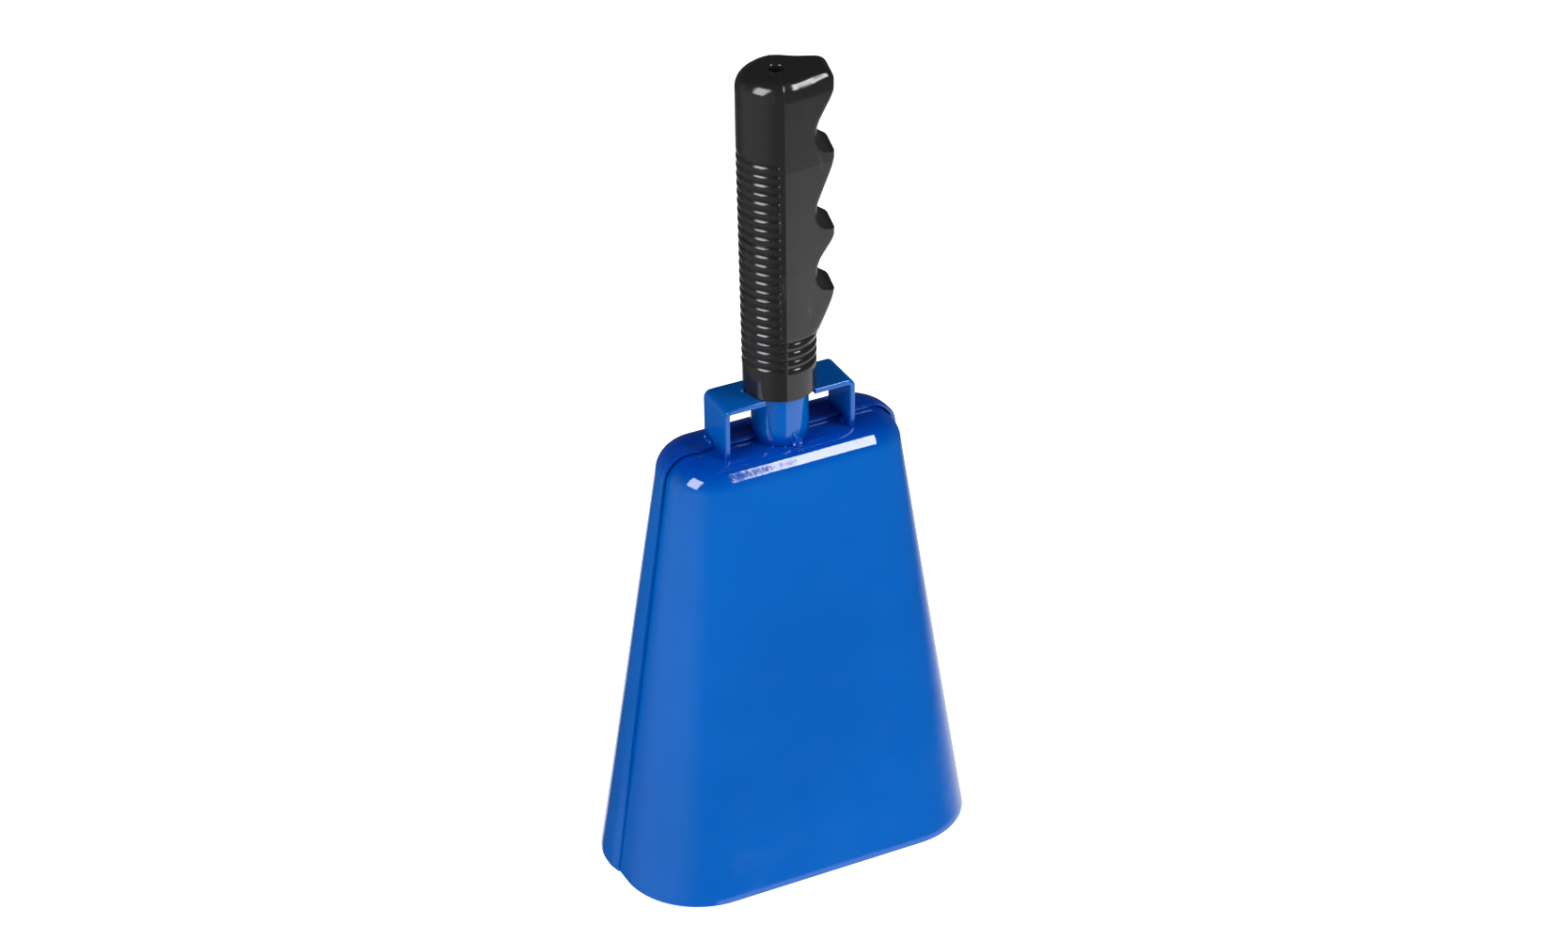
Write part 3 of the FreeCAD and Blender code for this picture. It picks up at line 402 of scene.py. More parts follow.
def soften_edges(piece, width, segments, angle):
    bevel = piece.modifiers.new("softened edges", "BEVEL")
    bevel.width = width
    bevel.segments = segments
    bevel.limit_method = "ANGLE"
    bevel.angle_limit = math.radians(angle)


def shade_by_angle(piece, degrees):
    """Keeps the edges sharper than this crisp, and shades the rest smooth."""
    split = piece.modifiers.new("crisp edges", "EDGE_SPLIT")
    split.split_angle = math.radians(degrees)


# ------------------------------------------------------------------------------ bell pressings
CORNER_STEPS = 22
SIDE_STEPS = 14
FACE_STEPS = 46
WALL_STEPS = 64
ROUND_STEPS = 12
CROWN_STEPS = 16
FLUSH_PINCH = 0.80 * MM      # how far the lapped edge is pinched down at the mouth
FLARE_WIDTH = 4.5 * MM       # how far from its edge the lapped sheet stands off
EDGE_GAP = 0.03 * MM         # the least gap under the lapped edge
EDGE_RIPPLE = 0.07 * MM      # the gap's unevenness
DENT = 0.12 * MM             # the depth of the long, soft dents of the sheet


def section(size, level, drawn_in, side_inset, cut):
    """Half of a level of the bell, from one cut edge over the face to the other, in the plan.

    The face is at -Y. cut is how far the half runs past the middle plane."""
    share = 1 - level / size.height
    half_width = (size.crown_width + (size.mouth_width - size.crown_width) * share) / 2
    half_depth = (size.crown_depth + (size.mouth_depth - size.crown_depth) * share) / 2
    corner = size.crown_corner + (size.mouth_corner - size.crown_corner) * share - drawn_in
    half_width -= side_inset + drawn_in
    half_depth -= drawn_in
    points = []
    straight = half_depth - corner
    for i in range(SIDE_STEPS):
        points.append((half_width, cut - (cut + straight) * i / SIDE_STEPS))
    for i in range(CORNER_STEPS):
        angle = RIGHT_ANGLE * i / CORNER_STEPS
        points.append((
            half_width - corner + corner * math.cos(angle),
            -straight - corner * math.sin(angle),
        ))
    run = half_width - corner
    for i in range(FACE_STEPS + 1):
        points.append((run - 2 * run * i / FACE_STEPS, -half_depth))
    mirrored = [(-x, y) for x, y in reversed(points[:SIDE_STEPS + CORNER_STEPS])]
    return points + mirrored


def pressing_rings(size, side_inset, cut):
    """The outside of one pressing, from the mouth over the rounding to the middle of its crown."""
    top = size.height - side_inset
    start = top - size.crown_round
    rings = []
    for step in range(WALL_STEPS):
        level = start * step / WALL_STEPS
        rings.append((level, section(size, level, 0.0, side_inset, cut)))
    for step in range(ROUND_STEPS + 1):
        angle = RIGHT_ANGLE * step / ROUND_STEPS
        level = start + size.crown_round * math.sin(angle)
        drawn_in = size.crown_round * (1 - math.cos(angle))
        rings.append((level, section(size, level, drawn_in, side_inset, cut)))
    last = rings[-1][1]
    for step in range(1, CROWN_STEPS + 1):
        share = 1 - step / CROWN_STEPS
        rings.append((top, [(x * share, cut + (y - cut) * share) for x, y in last]))
    return [[Vector((x, y, level)) for x, y in points] for level, points in rings]


def lip_flare(size, point):
    """How far the lapped edge of the rear pressing stands off its neighbour at this point."""
    near_edge = 1 - smooth_step(0.0, FLARE_WIDTH, point.y)
    height = smooth_step(0.80, 0.985, point.z / size.height)
    side = smooth_step(0.55, 0.95, abs(point.x) / (size.crown_width / 2))
    ripple = 0.5 + noise.noise(Vector((point.x, 0.0, point.z)) * 60.0)
    left_or_right = 1.0 if point.x < 0 else 0.15
    sprung = size.flare * height * (0.3 + 0.7 * side) * left_or_right
    pinched = FLUSH_PINCH * (1 - smooth_step(0.0, 0.45, point.z / size.height))
    return near_edge * (EDGE_GAP + EDGE_RIPPLE * ripple + sprung - pinched)


def make_pressing(name, node_name, size, side_inset, cut, facing):
    """One half of the bell: facing is -1 for the front pressing and 1 for the lapped rear one."""
    centre = Vector((0.0, 0.0, size.height * 0.45))
    rings = []
    for ring in pressing_rings(size, side_inset, cut):
        row = []
        for point in ring:
            if facing > 0:
                point = Vector((point.x, -point.y, point.z))
                rise = max(0.0, point.z - size.height * 0.93) * 8
                outward = Vector((point.x - centre.x, 0.0, rise))
                if outward.length > 0:
                    point = point + outward.normalized() * lip_flare(size, point)
            dent = noise.noise(point * 14.0 + Vector((3.0, 1.0, facing))) * DENT
            keep = smooth_step(0.0, 12 * MM, point.z) * smooth_step(0.0, 10 * MM, abs(point.y))
            row.append(point + (point - centre).normalized() * (dent - DENT) * keep)
        rings.append(row)
    mesh = mesh_from_rings(name, rings, closed_round=False)
    on_wall = mesh.polygons[WALL_STEPS * 4]
    if on_wall.normal.dot(on_wall.center - centre) < 0:
        mesh.flip_normals()
    piece = add_piece(name, mesh, "blue_enamel", "root", [node_name])
    sheet = piece.modifiers.new("sheet", "SOLIDIFY")
    sheet.thickness = size.wall
    sheet.offset = -1.0
    sheet.use_even_offset = True
    soften_edges(piece, 0.32 * MM, 3, 50)


class OBJECT_OT_cowbell_shells(bpy.types.Operator):
    """Builds the two painted pressings of the bell, lapped at the sides and over the crown"""
    bl_idname = "object.cowbell_shells"
    bl_label = "Bell pressings"

    def execute(self, context):
        size = context.scene.cowbell_shell
        make_pressing("front_pressing", "front_shell", size, size.lap_inset, size.lap, -1)
        make_pressing("rear_pressing", "rear_shell", size, 0.0, 0.0, 1)
        return {"FINISHED"}


# ------------------------------------------------------------------------- tube and brackets
def rounded_outline(width, thickness, corner, steps):
    """A rectangle with rounded corners, across and up from its middle."""
    points = []
    for quarter, (sx, sy) in enumerate(((1, 1), (-1, 1), (-1, -1), (1, -1))):
        for i in range(steps + 1):
            angle = RIGHT_ANGLE * (quarter + i / steps)
            points.append((
                sx * (width / 2 - corner) + corner * math.cos(angle),
                sy * (thickness / 2 - corner) + corner * math.sin(angle),
            ))
    return points


STRAIGHT_STEPS = 8
BEND_STEPS = 10
FOOT_BITE = 0.3 * MM         # how far a leg reaches into the crown
ARM_BITE = 0.5 * MM          # how far an arm reaches into the tube
STRIP_CORNER = 0.45 * MM
STRIP_SWAY = 0.10 * MM


def bracket_path(side, shell, handle, arm):
    """The middle line of a strip: up the leg, round the bend and along the arm."""
    mean = handle.bend - handle.strip / 2
    leg = side * (handle.reach - handle.strip / 2)
    foot = shell.height - shell.lap_inset - FOOT_BITE
    level = shell.height + arm - handle.strip / 2
    path = []
    for i in range(STRAIGHT_STEPS + 1):
        path.append((Vector((leg, 0, foot + (level - mean - foot) * i / STRAIGHT_STEPS)), 0.0))
    for i in range(1, BEND_STEPS):
        angle = RIGHT_ANGLE * i / BEND_STEPS
        across = leg - side * mean * (1 - math.cos(angle))
        path.append((Vector((across, 0, level - mean + mean * math.sin(angle))), angle))
    start, end = leg - side * mean, side * (handle.tube_radius - ARM_BITE)
    for i in range(STRAIGHT_STEPS + 1):
        across = start + (end - start) * i / STRAIGHT_STEPS
        path.append((Vector((across, 0, level)), RIGHT_ANGLE))
    return path


def make_bracket(side, name, node_name, shell, handle, arm):
    """A strip that stands on the crown, bends over and meets the tube."""
    path = bracket_path(side, shell, handle, arm)
    outline = rounded_outline(handle.strip_width, handle.strip, STRIP_CORNER, 4)
    rings = []
    for middle, angle in path:
        outward = Vector((side * math.cos(angle), 0, math.sin(angle)))
        ring = []
        for across, out in outline:
            ring.append(middle + Vector((0, across, 0)) + outward * out)
        rings.append(ring)
    mesh = mesh_from_rings(name, rings, closed_round=True)
    for vertex in mesh.vertices:
        sway = noise.noise(vertex.co * 45.0 + Vector((side, 0, 0)))
        vertex.co.y += sway * STRIP_SWAY
    piece = add_piece(name, mesh, "blue_enamel", "root", [node_name])
    even = piece.modifiers.new("flat faces", "WEIGHTED_NORMAL")
    even.weight = 80


TUBE_WALL = 1.5 * MM
TUBE_EASE = 0.25 * MM        # the broken edges at the tube's ends
TUBE_LEVELS = 24
TUBE_STEPS = 96


def make_tube(handle):
    """The tube's outside, its end faces and its bore, as one closed skin."""
    bottom, top = (corner.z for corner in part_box("handle_tube"))
    outer, inner, ease = handle.tube_radius, handle.tube_radius - TUBE_WALL, TUBE_EASE
    profile = [
        (inner, bottom + ease), (inner + ease, bottom),
        (outer - ease, bottom), (outer, bottom + ease),
    ]
    for i in range(1, TUBE_LEVELS):
        profile.append((outer, bottom + (top - bottom) * i / TUBE_LEVELS))
    profile += [
        (outer, top - ease), (outer - ease, top),
        (inner + ease, top), (inner, top - ease),
    ]
    rings = []
    for radius, level in profile:
        ring = []
        for i in range(TUBE_STEPS):
            angle = math.tau * i / TUBE_STEPS
            ring.append(Vector((radius * math.cos(angle), radius * math.sin(angle), level)))
        rings.append(ring)
    mesh = mesh_from_rings("painted_tube", rings, closed_round=True, closed_ends=True)
    add_piece("painted_tube", mesh, "blue_enamel", "root", ["handle_tube"])


class OBJECT_OT_cowbell_handle(bpy.types.Operator):
    """Builds the painted handle tube and the two strip brackets that brace it"""
    bl_idname = "object.cowbell_handle"
    bl_label = "Tube and brackets"

    def execute(self, context):
        shell, handle = context.scene.cowbell_shell, context.scene.cowbell_handle
        make_tube(handle)
        make_bracket(-1, "left_strip", "left_bracket", shell, handle, handle.left_arm)
        make_bracket(1, "right_strip", "right_bracket", shell, handle, handle.right_arm)
        return {"FINISHED"}


# --------------------------------------------------------------------------------- weld beads
def make_beads(name, node_names, slot, beads, seed, lumpiness=0.16, voxel=0.16):
    """Lumps of weld under paint. Each bead is a middle and three radii, in millimetres."""
    made = bmesh.new()
    for middle, radii in beads:
        place = Matrix.Translation(Vector(middle) * MM)
        scale = Matrix.Diagonal((*[radius * MM for radius in radii], 1.0))
        bmesh.ops.create_icosphere(made, subdivisions=4, radius=1.0, matrix=place @ scale)
    mesh = bpy.data.meshes.new(name)
    made.to_mesh(mesh)
    made.free()
    raw = bpy.data.objects.new(name + "_raw", mesh)
    bpy.context.scene.collection.objects.link(raw)
    remesh = raw.modifiers.new("fused", "REMESH")
    remesh.mode = "VOXEL"
    remesh.voxel_size = voxel * MM
    relax = raw.modifiers.new("relaxed", "SMOOTH")
    relax.factor = 0.6
    relax.iterations = 4
    bpy.context.view_layer.update()
    fused = bpy.data.meshes.new_from_object(
        raw.evaluated_get(bpy.context.evaluated_depsgraph_get()))
    bpy.data.objects.remove(raw)
    bpy.data.meshes.remove(mesh)
    for vertex in fused.vertices:
        lump = noise.noise(vertex.co * 700.0 + Vector((seed, 0, 0)))
        lump += 0.5 * noise.noise(vertex.co * 1900.0 + Vector((0, seed, 0)))
        vertex.co += vertex.normal * lump * lumpiness * MM
    fused.name = name
    add_piece(name, fused, slot, "root", node_names)


def around_tube(angle, out, level):
    """A bead's middle, from its angle round the tube, its distance from the axis and its height."""
    turned = math.radians(angle)
    return (out * math.cos(turned), out * math.sin(turned), level)


class OBJECT_OT_cowbell_welds(bpy.types.Operator):
    """Builds the painted weld tacks at the tube and the brackets, and the spatter beside them"""
    bl_idname = "object.cowbell_welds"
    bl_label = "Weld tacks"

    def execute(self, context):
        foot = [
            (around_tube(-81, 9.9, 156.7), (2.10, 1.35, 1.10)),
            (around_tube(-79, 9.8, 158.2), (1.35, 1.05, 1.45)),
            (around_tube(-85, 9.7, 159.9), (1.10, 0.80, 1.20)),
            (around_tube(-77, 9.55, 160.9), (0.65, 0.50, 0.80)),
            (around_tube(-107, 9.8, 156.5), (0.85, 0.65, 0.60)),
            (around_tube(-131, 9.8, 156.5), (0.75, 0.55, 0.50)),
            (around_tube(48, 9.8, 157.9), (1.30, 1.20, 0.95)),
            (around_tube(133, 9.8, 157.9), (1.40, 1.10, 0.90)),
            (around_tube(141, 9.8, 158.0), (0.80, 0.75, 0.80)),
        ]
        make_beads("foot_beads", ["tube_foot_welds"], "painted_weld", foot, 3.0)
        brackets = []
        for side in (-1, 1):
            brackets += [
                ((side * 24.1, 3.6, 157.9), (0.95, 2.30, 1.00)),
                ((side * 24.0, 1.4, 157.0), (0.80, 1.30, 0.75)),
                ((side * 24.3, 5.6, 158.3), (0.75, 1.00, 0.95)),
                ((side * 21.2, -3.2, 156.7), (0.75, 1.60, 0.70)),
            ]
        make_beads("bracket_beads", ["bracket_foot_welds"], "painted_weld", brackets, 5.0)
        arms = [
            ((-12.75, 1.1, 174.75), (0.75, 0.90, 0.70)),
            ((-12.9, 2.1, 174.6), (0.45, 0.55, 0.45)),
            ((-9.9, 0.0, 172.1), (0.85, 1.60, 0.95)),
            ((9.9, 0.0, 171.7), (0.85, 1.60, 0.95)),
            ((-9.9, -2.0, 172.3), (0.60, 1.00, 0.60)),
        ]
        make_beads("arm_beads", ["bracket_arm_welds"], "painted_weld", arms, 7.0)
        spatter = [
            ((0.1, -13.5, 156.32), (0.42, 0.42, 0.30)),
            ((1.4, -13.8, 156.3), (0.36, 0.36, 0.26)),
            ((-0.1, -11.5, 156.4), (0.30, 0.30, 0.24)),
            ((4.6, -12.0, 156.38), (0.22, 0.24, 0.18)),
            ((-27.2, 2.4, 156.6), (0.34, 0.30, 0.34)),
            ((-19.0, -5.4, 156.38), (0.24, 0.26, 0.18)),
            ((26.4, 3.0, 157.4), (0.30, 0.30, 0.28)),
        ]
        make_beads(
            "weld_spatter", [], "painted_weld", spatter, 9.0, lumpiness=0.03, voxel=0.07)
        return {"FINISHED"}


# ---------------------------------------------------------------------------------- hand grip
# Heights and radii in millimetres; heights are above the grip's bottom end.
LIPS = (36.3, 58.5, 85.9)             # where each finger groove starts
CRESTS = (55.9, 83.3, 107.3)          # where it has come out again
GROOVE_RISE = 7.9                     # from a lip to the deepest line of its groove
FINGER_RADIUS = 9.5
HEEL_START = 19.5                     # where the finger side starts to grow from the collar
HEEL_GAP = 2.6                        # where it has its full reach, under the first lip
RIB_START = 11.2
RIB_LAND = 0.45
RING_RIBS = 4                         # these go right round, the rest is on the palm side
RIB_COUNT = 24
RIB_MARGIN = math.radians(9.0)        # from the mould line to the ends of the palm ribs
TIP_TOP_ROUND = 3.0
FLANK_TOP_ROUND = 4.8
PALM_TOP_ROUND = 6.2
FLASH_HEIGHT = 0.26
FLASH_WIDTH = 0.17
FIRST_HEIGHT = 0.4
HEIGHT_STEPS = 350
TOP_ROUND_STEPS = 14
TOP_FACE_STEPS = 12
PROFILE_STEP = 0.05                   # between the heights at which the finger side is worked out


def finger_profile(grip):
    """The finger side in side view: how far it reaches at each height, softened at its edges."""
    crest, floor = grip.crest / MM, grip.groove_floor / MM
    depth = crest - floor
    heel = (GROOVE_RISE ** 2 + depth ** 2) / (2 * depth)

    def reach(height):
        for lip, high in zip(LIPS, CRESTS):
            if not lip <= height <= high:
                continue
            deepest = lip + GROOVE_RISE
            if height <= deepest:
                return floor + heel - math.sqrt(max(0.0, heel ** 2 - (height - deepest) ** 2))
            away = math.hypot(depth - FINGER_RADIUS, high - deepest)
            lean = math.atan2(high - deepest, depth - FINGER_RADIUS)
            lean += math.acos(FINGER_RADIUS / away)
            touch = deepest + FINGER_RADIUS * math.sin(lean)
            touch_reach = floor + FINGER_RADIUS + FINGER_RADIUS * math.cos(lean)
            if height <= touch:
                rise = height - deepest
                return floor + FINGER_RADIUS - math.sqrt(FINGER_RADIUS ** 2 - rise ** 2)
            return touch_reach + (crest - touch_reach) * (height - touch) / (high - touch)
        return crest

    last = int(round(grip.height / MM / PROFILE_STEP))
    raw = [reach(i * PROFILE_STEP) for i in range(last + 1)]
    window = range(-9, 10)
    weights = [math.exp(-(k / 5.0) ** 2) for k in window]
    soft = []
    for i in range(last + 1):
        total = 0.0
        for k, weight in zip(window, weights):
            total += weight * raw[min(last, max(0, i + k))]
        soft.append(total / sum(weights))
    return lambda height: soft[min(last, max(0, int(round(height / PROFILE_STEP))))]


def plan_reach(grip, palm, angle):
    """Distance from the axis to the plan outline of the grip, angle from the finger direction."""
    tip, crest, wedge = grip.tip / MM, grip.crest / MM, grip.wedge
    tip_x = crest - tip
    tip_y = (palm - tip - tip_x * math.sin(wedge)) / math.cos(wedge)
    away = abs(math.remainder(angle, math.tau))
    if away >= RIGHT_ANGLE - wedge:
        return palm
    flank_end = math.atan2(tip_y + tip * math.cos(wedge), tip_x + tip * math.sin(wedge))
    if away >= flank_end:
        return palm / math.cos(RIGHT_ANGLE - wedge - away)
    if away >= math.atan2(tip_y, crest):
        along = tip_x * math.cos(away) + tip_y * math.sin(away)
        return along + math.sqrt(tip ** 2 - (tip_x ** 2 + tip_y ** 2 - along ** 2))
    return crest / math.cos(away)


def flash(away):
    """The thin line of flash where the mould halves met, away from its middle."""
    return FLASH_HEIGHT * math.exp(-(away / FLASH_WIDTH) ** 2)


def grip_radius(grip, profile, angle, height):
    """Distance from the axis to the grip's surface, in millimetres."""
    widening = min(1.0, height / (grip.taper_end / MM))
    palm = (grip.palm_low + (grip.palm_high - grip.palm_low) * widening) / MM
    radius = plan_reach(grip, palm, angle)
    away = abs(math.remainder(angle, math.tau))
    if away < RIGHT_ANGLE - 0.02:
        radius = soft_min(radius, profile(height) / math.cos(away), 1.1)
    # The heel: below the first finger, the finger side grows out of the round collar.
    heel_end = LIPS[0] - HEEL_GAP
    slope = (grip.crest / MM - palm) / (heel_end - HEEL_START)
    cone = palm + max(-0.2, (height - HEEL_START) * slope)
    if height < heel_end + 4:
        radius = max(min(radius, palm), soft_min(radius, cone, 0.9))
    # The ribs: rounded rings, right round the grip at the bottom and on the palm side above.
    place = (height - RIB_START - RIB_LAND) / (grip.rib_pitch / MM)
    if -0.5 < place < RIB_COUNT - 0.5:
        valley = 1 - math.sqrt(max(0.0, 1 - (1 - 2 * abs(place - round(place))) ** 2))
        seam = abs(away - RIGHT_ANGLE)
        if round(place) < RING_RIBS:
            reach = smooth_step(math.radians(1.2), math.radians(2.4), seam)
        else:
            reach = smooth_step(RIB_MARGIN * 0.75, RIB_MARGIN * 1.1, away - RIGHT_ANGLE)
        radius -= grip.rib_depth / MM * valley * reach
    return radius + flash(abs(away - RIGHT_ANGLE) * radius)


def grip_angles():
    """Every other degree, and closer at the mould lines, the ribs' ends and the tip's corners."""
    angles = [math.radians(degrees) for degrees in range(0, 360, 2)]
    for seam in (RIGHT_ANGLE, 3 * RIGHT_ANGLE):
        for offset in (-1.5, -1.0, -0.5, 0.5, 1.0, 1.5, 2.6, -2.6):
            angles.append(seam + math.radians(offset))
        ends = 1 if seam < math.pi else -1
        for offset in (6.9, 7.7, 8.5, 9.3):
            angles.append(seam + ends * math.radians(offset))
    for offset in range(9, 28, 2):
        angles += [math.radians(offset), math.radians(360 - offset)]
    return sorted(set(round(angle, 5) for angle in angles))


def grip_heights(grip):
    """Even steps up to the rounded top, and closer ones at the edges between the fingers."""
    top = grip.height / MM - PALM_TOP_ROUND
    run = top - FIRST_HEIGHT
    heights = [FIRST_HEIGHT + run * i / HEIGHT_STEPS for i in range(HEIGHT_STEPS + 1)]
    for edge in LIPS + CRESTS:
        heights += [edge + 0.12 * k for k in range(-5, 8)]
    return sorted(set(round(height, 3) for height in heights if height <= top))


def top_rounding(angle):
    """The radius of the edge round the closed top: small at the tip, large on the palm side."""
    away = abs(math.remainder(angle, math.tau))
    flank = smooth_step(math.radians(10), math.radians(45), away)
    palm = smooth_step(-0.1, 0.7, -math.cos(angle))
    around = TIP_TOP_ROUND + (FLANK_TOP_ROUND - TIP_TOP_ROUND) * flank
    return around + (PALM_TOP_ROUND - FLANK_TOP_ROUND) * palm


def make_grip(grip):
    """The grip as one closed skin: up the outside, over the top, down the hole and the bore."""
    profile = finger_profile(grip)
    angles = grip_angles()
    total = grip.height / MM
    bore, hole = grip.bore / MM, grip.hole / MM
    rings = []

    def outside(angle, height):
        return grip_radius(grip, profile, angle, height)

    def ring(place):
        """Adds a ring. place gives the radius and the height at an angle."""
        points = []
        for angle in angles:
            radius, height = place(angle)
            turned = angle - grip.twist
            points.append(Vector((
                radius * math.cos(turned) * MM,
                radius * math.sin(turned) * MM,
                grip.base + height * MM,
            )))
        rings.append(points)

    def on_rounding(angle, bend):
        size = top_rounding(angle)
        height = total - size * (1 - math.sin(bend))
        reach = outside(angle, min(height, total - 0.01))
        return reach - size * (1 - math.cos(bend)), height

    def on_edge(angle, bend):
        radius, height = on_rounding(angle, bend)
        return radius, max(total - PALM_TOP_ROUND, height)

    def on_top(angle, share):
        edge = on_rounding(angle, RIGHT_ANGLE)[0]
        radius = edge + (hole + 0.5 - edge) * share
        line = flash(abs(math.cos(angle)) * radius) * smooth_step(0, 0.1, share)
        return radius, total + line

    ring(lambda a: (bore, 0.3))
    ring(lambda a: (bore + 0.3, 0.0))
    ring(lambda a: (outside(a, FIRST_HEIGHT) - 0.45, 0.0))
    ring(lambda a: (outside(a, FIRST_HEIGHT) - 0.13, 0.12))
    for height in grip_heights(grip):
        ring(lambda a: (outside(a, height), height))
    for step in range(1, TOP_ROUND_STEPS + 1):
        bend = RIGHT_ANGLE * step / TOP_ROUND_STEPS
        ring(lambda a: on_edge(a, bend))
    for step in range(1, TOP_FACE_STEPS):
        ring(lambda a: on_top(a, step / TOP_FACE_STEPS))
    inner = total - grip.top_wall / MM
    for radius, height in (
        (hole + 0.5, total), (hole + 0.15, total - 0.12), (hole, total - 0.5),
        (hole, inner + 0.2), (hole + 0.2, inner), (bore - 0.2, inner), (bore, inner - 0.2),
    ):
        ring(lambda a: (radius, height))
    mesh = mesh_from_rings("moulded_grip", rings, closed_round=True, closed_ends=True)
    add_piece("moulded_grip", mesh, "black_plastic", "root", ["hand_grip"])


class OBJECT_OT_cowbell_grip(bpy.types.Operator):
    """Builds the moulded grip with its finger grooves, ribs, mould line and lanyard hole"""
    bl_idname = "object.cowbell_grip"
    bl_label = "Hand grip"

    def execute(self, context):
        make_grip(context.scene.cowbell_grip)
        return {"FINISHED"}


# ------------------------------------------------------------------------------------ clapper
class OBJECT_OT_cowbell_clapper(bpy.types.Operator):
    """Finishes the staple, link, rod and ball that hang inside, and their welds"""
    bl_idname = "object.cowbell_clapper"
    bl_label = "Clapper"

    def execute(self, context):
        slots = {
            "clapper_staple": "painted_wire",
            "staple_welds": "painted_weld",
            "seam_tack_welds": "painted_weld",
            "clapper_link": "zinc_wire",
            "clapper_rod": "zinc_wire",
            "clapper_ball": "ball_steel",
        }
        for name, slot in slots.items():
            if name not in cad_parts:
                raise RuntimeError(f"the frame has no node {name}")
            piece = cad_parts[name]
            piece.data.materials.clear()
            piece.data.materials.append(finish_for(slot))
            weld = piece.modifiers.new("joined", "WELD")
            weld.merge_threshold = 0.001 * MM
            shade_by_angle(piece, 38)
            for face in piece.data.polygons:
                face.use_smooth = True
        return {"FINISHED"}


# -------------------------------------------------------------------------------------- stage
VIEW_AZIMUTH = math.radians(-26.49)
VIEW_ELEVATION = math.radians(31.95)
VIEW_ROLL = math.radians(-0.63)
VIEW_DISTANCE = 1.4238
VIEW_TARGET = Vector((0.001325, 0.0, 0.14113))
VIEW_LENS = 100.0
VIEW_SENSOR = 36.0
# Each light: its place, the direction of its height, its target's height, width, height, watts.
LIGHTS = {
    "long_panel": ((0.599, -0.574, 1.115), (0.0, 0.862, 0.506), 0.15, 0.30, 0.80, 9.0),
    "high_left": ((-0.98, -0.16, 1.00), (0.0, 0.0, 1.0), 0.18, 0.60, 0.75, 11.0),
    "front_fill": ((0.3, -2.2, 0.7), (0.0, 0.0, 1.0), 0.12, 2.4, 1.2, 14.0),
}
FLOOR_HALF = 6.0
FLOOR_DROP = 0.4 * MM        # keeps the floor clear of the bell's rim


def aim(thing, place, upward, target_height):
    """Puts a light at its place, facing the bell's axis, with its height along upward."""
    facing = (Vector(place) - Vector((0.0, 0.0, target_height))).normalized()
    across = Vector(upward).cross(facing).normalized()
    turned = Matrix((across, facing.cross(across), facing)).transposed().to_4x4()
    thing.matrix_world = Matrix.Translation(Vector(place)) @ turned


def make_floor():
    """A plain pale floor. Its underside is clear, so that the clapper shows from below."""
    made = Finish("pale_floor")
    cloud = made.noise(2.0, 2.0, 0.5)
    made.bump(made.noise(60.0, 2.0, 0.5), 0.02)
    made.set(Emission_Strength=1.0, Specular_IOR_Level=0.1)
    made.shader.inputs["Emission Color"].default_value = (1.0, 1.0, 1.0, 1.0)
    tone = made.mix(cloud, (0.86, 0.86, 0.86), (0.9, 0.9, 0.9))
    made.finish(tone, made.ramp(cloud, (0, 0.7), (1, 0.8)))
    clear = made.node("ShaderNodeBsdfTransparent")
    side = made.node("ShaderNodeNewGeometry")
    choice = made.node("ShaderNodeMixShader")
    output = made.tree.nodes["Material Output"]
    made.link(side.outputs["Backfacing"], choice.inputs["Fac"])
    made.link(made.shader.outputs["BSDF"], choice.inputs[1])
    made.link(clear.outputs["BSDF"], choice.inputs[2])
    made.link(choice.outputs["Shader"], output.inputs["Surface"])
    mesh = bpy.data.meshes.new("studio_floor")
    corners = [(FLOOR_HALF * x, FLOOR_HALF * y, 0) for x, y in ((-1, -1), (1, -1), (1, 1), (-1, 1))]
    mesh.from_pydata(corners, [], [(0, 1, 2, 3)])
    mesh.materials.append(made.material)
    floor = bpy.data.objects.new("studio_floor", mesh)
    bpy.context.scene.collection.objects.link(floor)
    floor.location.z = -FLOOR_DROP
    floor.visible_glossy = False


def make_world():
    """White to the eye. Reflections see a dim room, with a pale board low on the right."""
    world = bpy.data.worlds.new("studio")
    bpy.context.scene.world = world
    world.use_nodes = True
    tree = world.node_tree
    background = tree.nodes["Background"]
    place = tree.nodes.new("ShaderNodeTexCoord").outputs["Generated"]
    parts = tree.nodes.new("ShaderNodeSeparateXYZ")
    tree.links.new(place, parts.inputs["Vector"])

    def ramp(axis, low, high, dim, bright):
        made = tree.nodes.new("ShaderNodeMapRange")
        values = {"From Min": low, "From Max": high, "To Min": dim, "To Max": bright}
        for key, value in values.items():
            made.inputs[key].default_value = value
        tree.links.new(parts.outputs[axis], made.inputs["Value"])
        return made.outputs["Result"]

    def combine(operation, first, second):
        made = tree.nodes.new("ShaderNodeMath")
        made.operation = operation
        tree.links.new(first, made.inputs[0])
        tree.links.new(second, made.inputs[1])
        return made.outputs["Value"]

    right_half = ramp("X", -0.06, 0.02, 0.0, 0.9)
    board = combine("MULTIPLY", right_half, ramp("Z", -0.44, -0.51, 0.0, 1.0))
    room = combine("ADD", ramp("X", -0.45, -0.85, 0.05, 0.28), board)
    strength = combine("MULTIPLY", room, ramp("Z", 0.15, 0.55, 1.0, 0.10))
    seen = tree.nodes.new("ShaderNodeLightPath").outputs["Is Camera Ray"]
    strength = combine("MAXIMUM", strength, seen)
    tree.links.new(strength, background.inputs["Strength"])
    background.inputs["Color"].default_value = (1.0, 1.0, 1.0, 1.0)


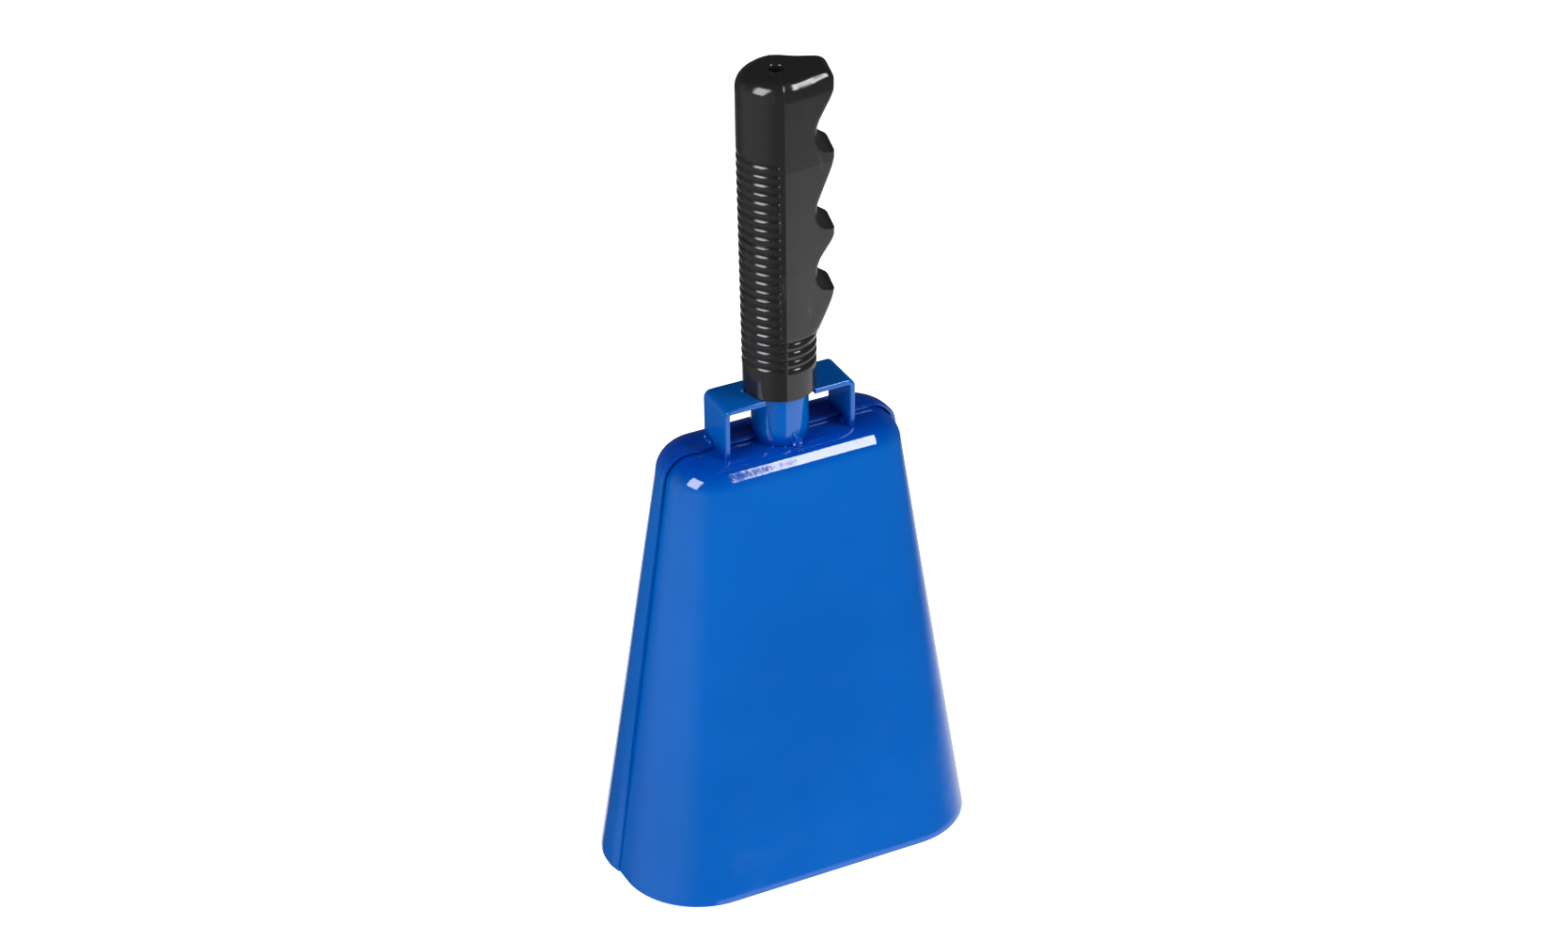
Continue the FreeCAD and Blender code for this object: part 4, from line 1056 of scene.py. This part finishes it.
def make_lights():
    for name, (place, upward, target_height, width, height, watts) in LIGHTS.items():
        data = bpy.data.lights.new(name, "AREA")
        data.shape = "RECTANGLE"
        data.size, data.size_y = width, height
        data.energy = watts
        lamp = bpy.data.objects.new(name, data)
        lamp.visible_glossy = name != "front_fill"
        bpy.context.scene.collection.objects.link(lamp)
        aim(lamp, place, upward, target_height)


def make_camera():
    data = bpy.data.cameras.new("studio_camera")
    data.lens = VIEW_LENS
    data.sensor_width = VIEW_SENSOR
    data.clip_start, data.clip_end = 0.05, 50.0
    camera = bpy.data.objects.new("studio_camera", data)
    bpy.context.scene.collection.objects.link(camera)
    level = math.cos(VIEW_ELEVATION)
    back = Vector((
        math.sin(VIEW_AZIMUTH) * level,
        -math.cos(VIEW_AZIMUTH) * level,
        math.sin(VIEW_ELEVATION),
    ))
    right = (-back).cross(Vector((0, 0, 1))).normalized()
    up = right.cross(-back)
    rolled_right = right * math.cos(VIEW_ROLL) + up * math.sin(VIEW_ROLL)
    rolled_up = up * math.cos(VIEW_ROLL) - right * math.sin(VIEW_ROLL)
    turned = Matrix((rolled_right, rolled_up, back)).transposed().to_4x4()
    camera.matrix_world = Matrix.Translation(VIEW_TARGET + back * VIEW_DISTANCE) @ turned
    bpy.context.scene.camera = camera


class OBJECT_OT_cowbell_stage(bpy.types.Operator):
    """Builds the pale floor, the soft lights and the camera"""
    bl_idname = "object.cowbell_stage"
    bl_label = "Studio stage"

    def execute(self, context):
        make_floor()
        make_world()
        make_lights()
        make_camera()
        context.scene.view_settings.view_transform = "Standard"
        return {"FINISHED"}


# -------------------------------------------------------------------------------------- panel
OPERATORS = (
    OBJECT_OT_cowbell_shells,
    OBJECT_OT_cowbell_handle,
    OBJECT_OT_cowbell_welds,
    OBJECT_OT_cowbell_grip,
    OBJECT_OT_cowbell_clapper,
    OBJECT_OT_cowbell_stage,
)


class VIEW3D_PT_cowbell(bpy.types.Panel):
    """Lists the pieces of the cowbell"""
    bl_idname = "VIEW3D_PT_cowbell"
    bl_label = "Cheering cowbell"
    bl_space_type = "VIEW_3D"
    bl_region_type = "UI"
    bl_category = "Cowbell"

    def draw(self, context):
        for operator in OPERATORS:
            self.layout.operator(operator.bl_idname)
        for name, group in SETTINGS.items():
            box = self.layout.box()
            for key in group.__annotations__:
                box.prop(getattr(context.scene, name), key)


def register():
    for group in SETTINGS.values():
        bpy.utils.register_class(group)
    for name, group in SETTINGS.items():
        setattr(bpy.types.Scene, name, PointerProperty(type=group))
    for operator in OPERATORS:
        bpy.utils.register_class(operator)
    bpy.utils.register_class(VIEW3D_PT_cowbell)


def unregister():
    bpy.utils.unregister_class(VIEW3D_PT_cowbell)
    for operator in reversed(OPERATORS):
        bpy.utils.unregister_class(operator)
    for name in SETTINGS:
        delattr(bpy.types.Scene, name)
    for group in reversed(SETTINGS.values()):
        bpy.utils.unregister_class(group)


def main():
    register()
    bpy.ops.object.cowbell_shells()
    bpy.ops.object.cowbell_handle()
    bpy.ops.object.cowbell_welds()
    bpy.ops.object.cowbell_grip()
    bpy.ops.object.cowbell_clapper()
    bpy.ops.object.cowbell_stage()


if __name__ == "__main__":
    main()
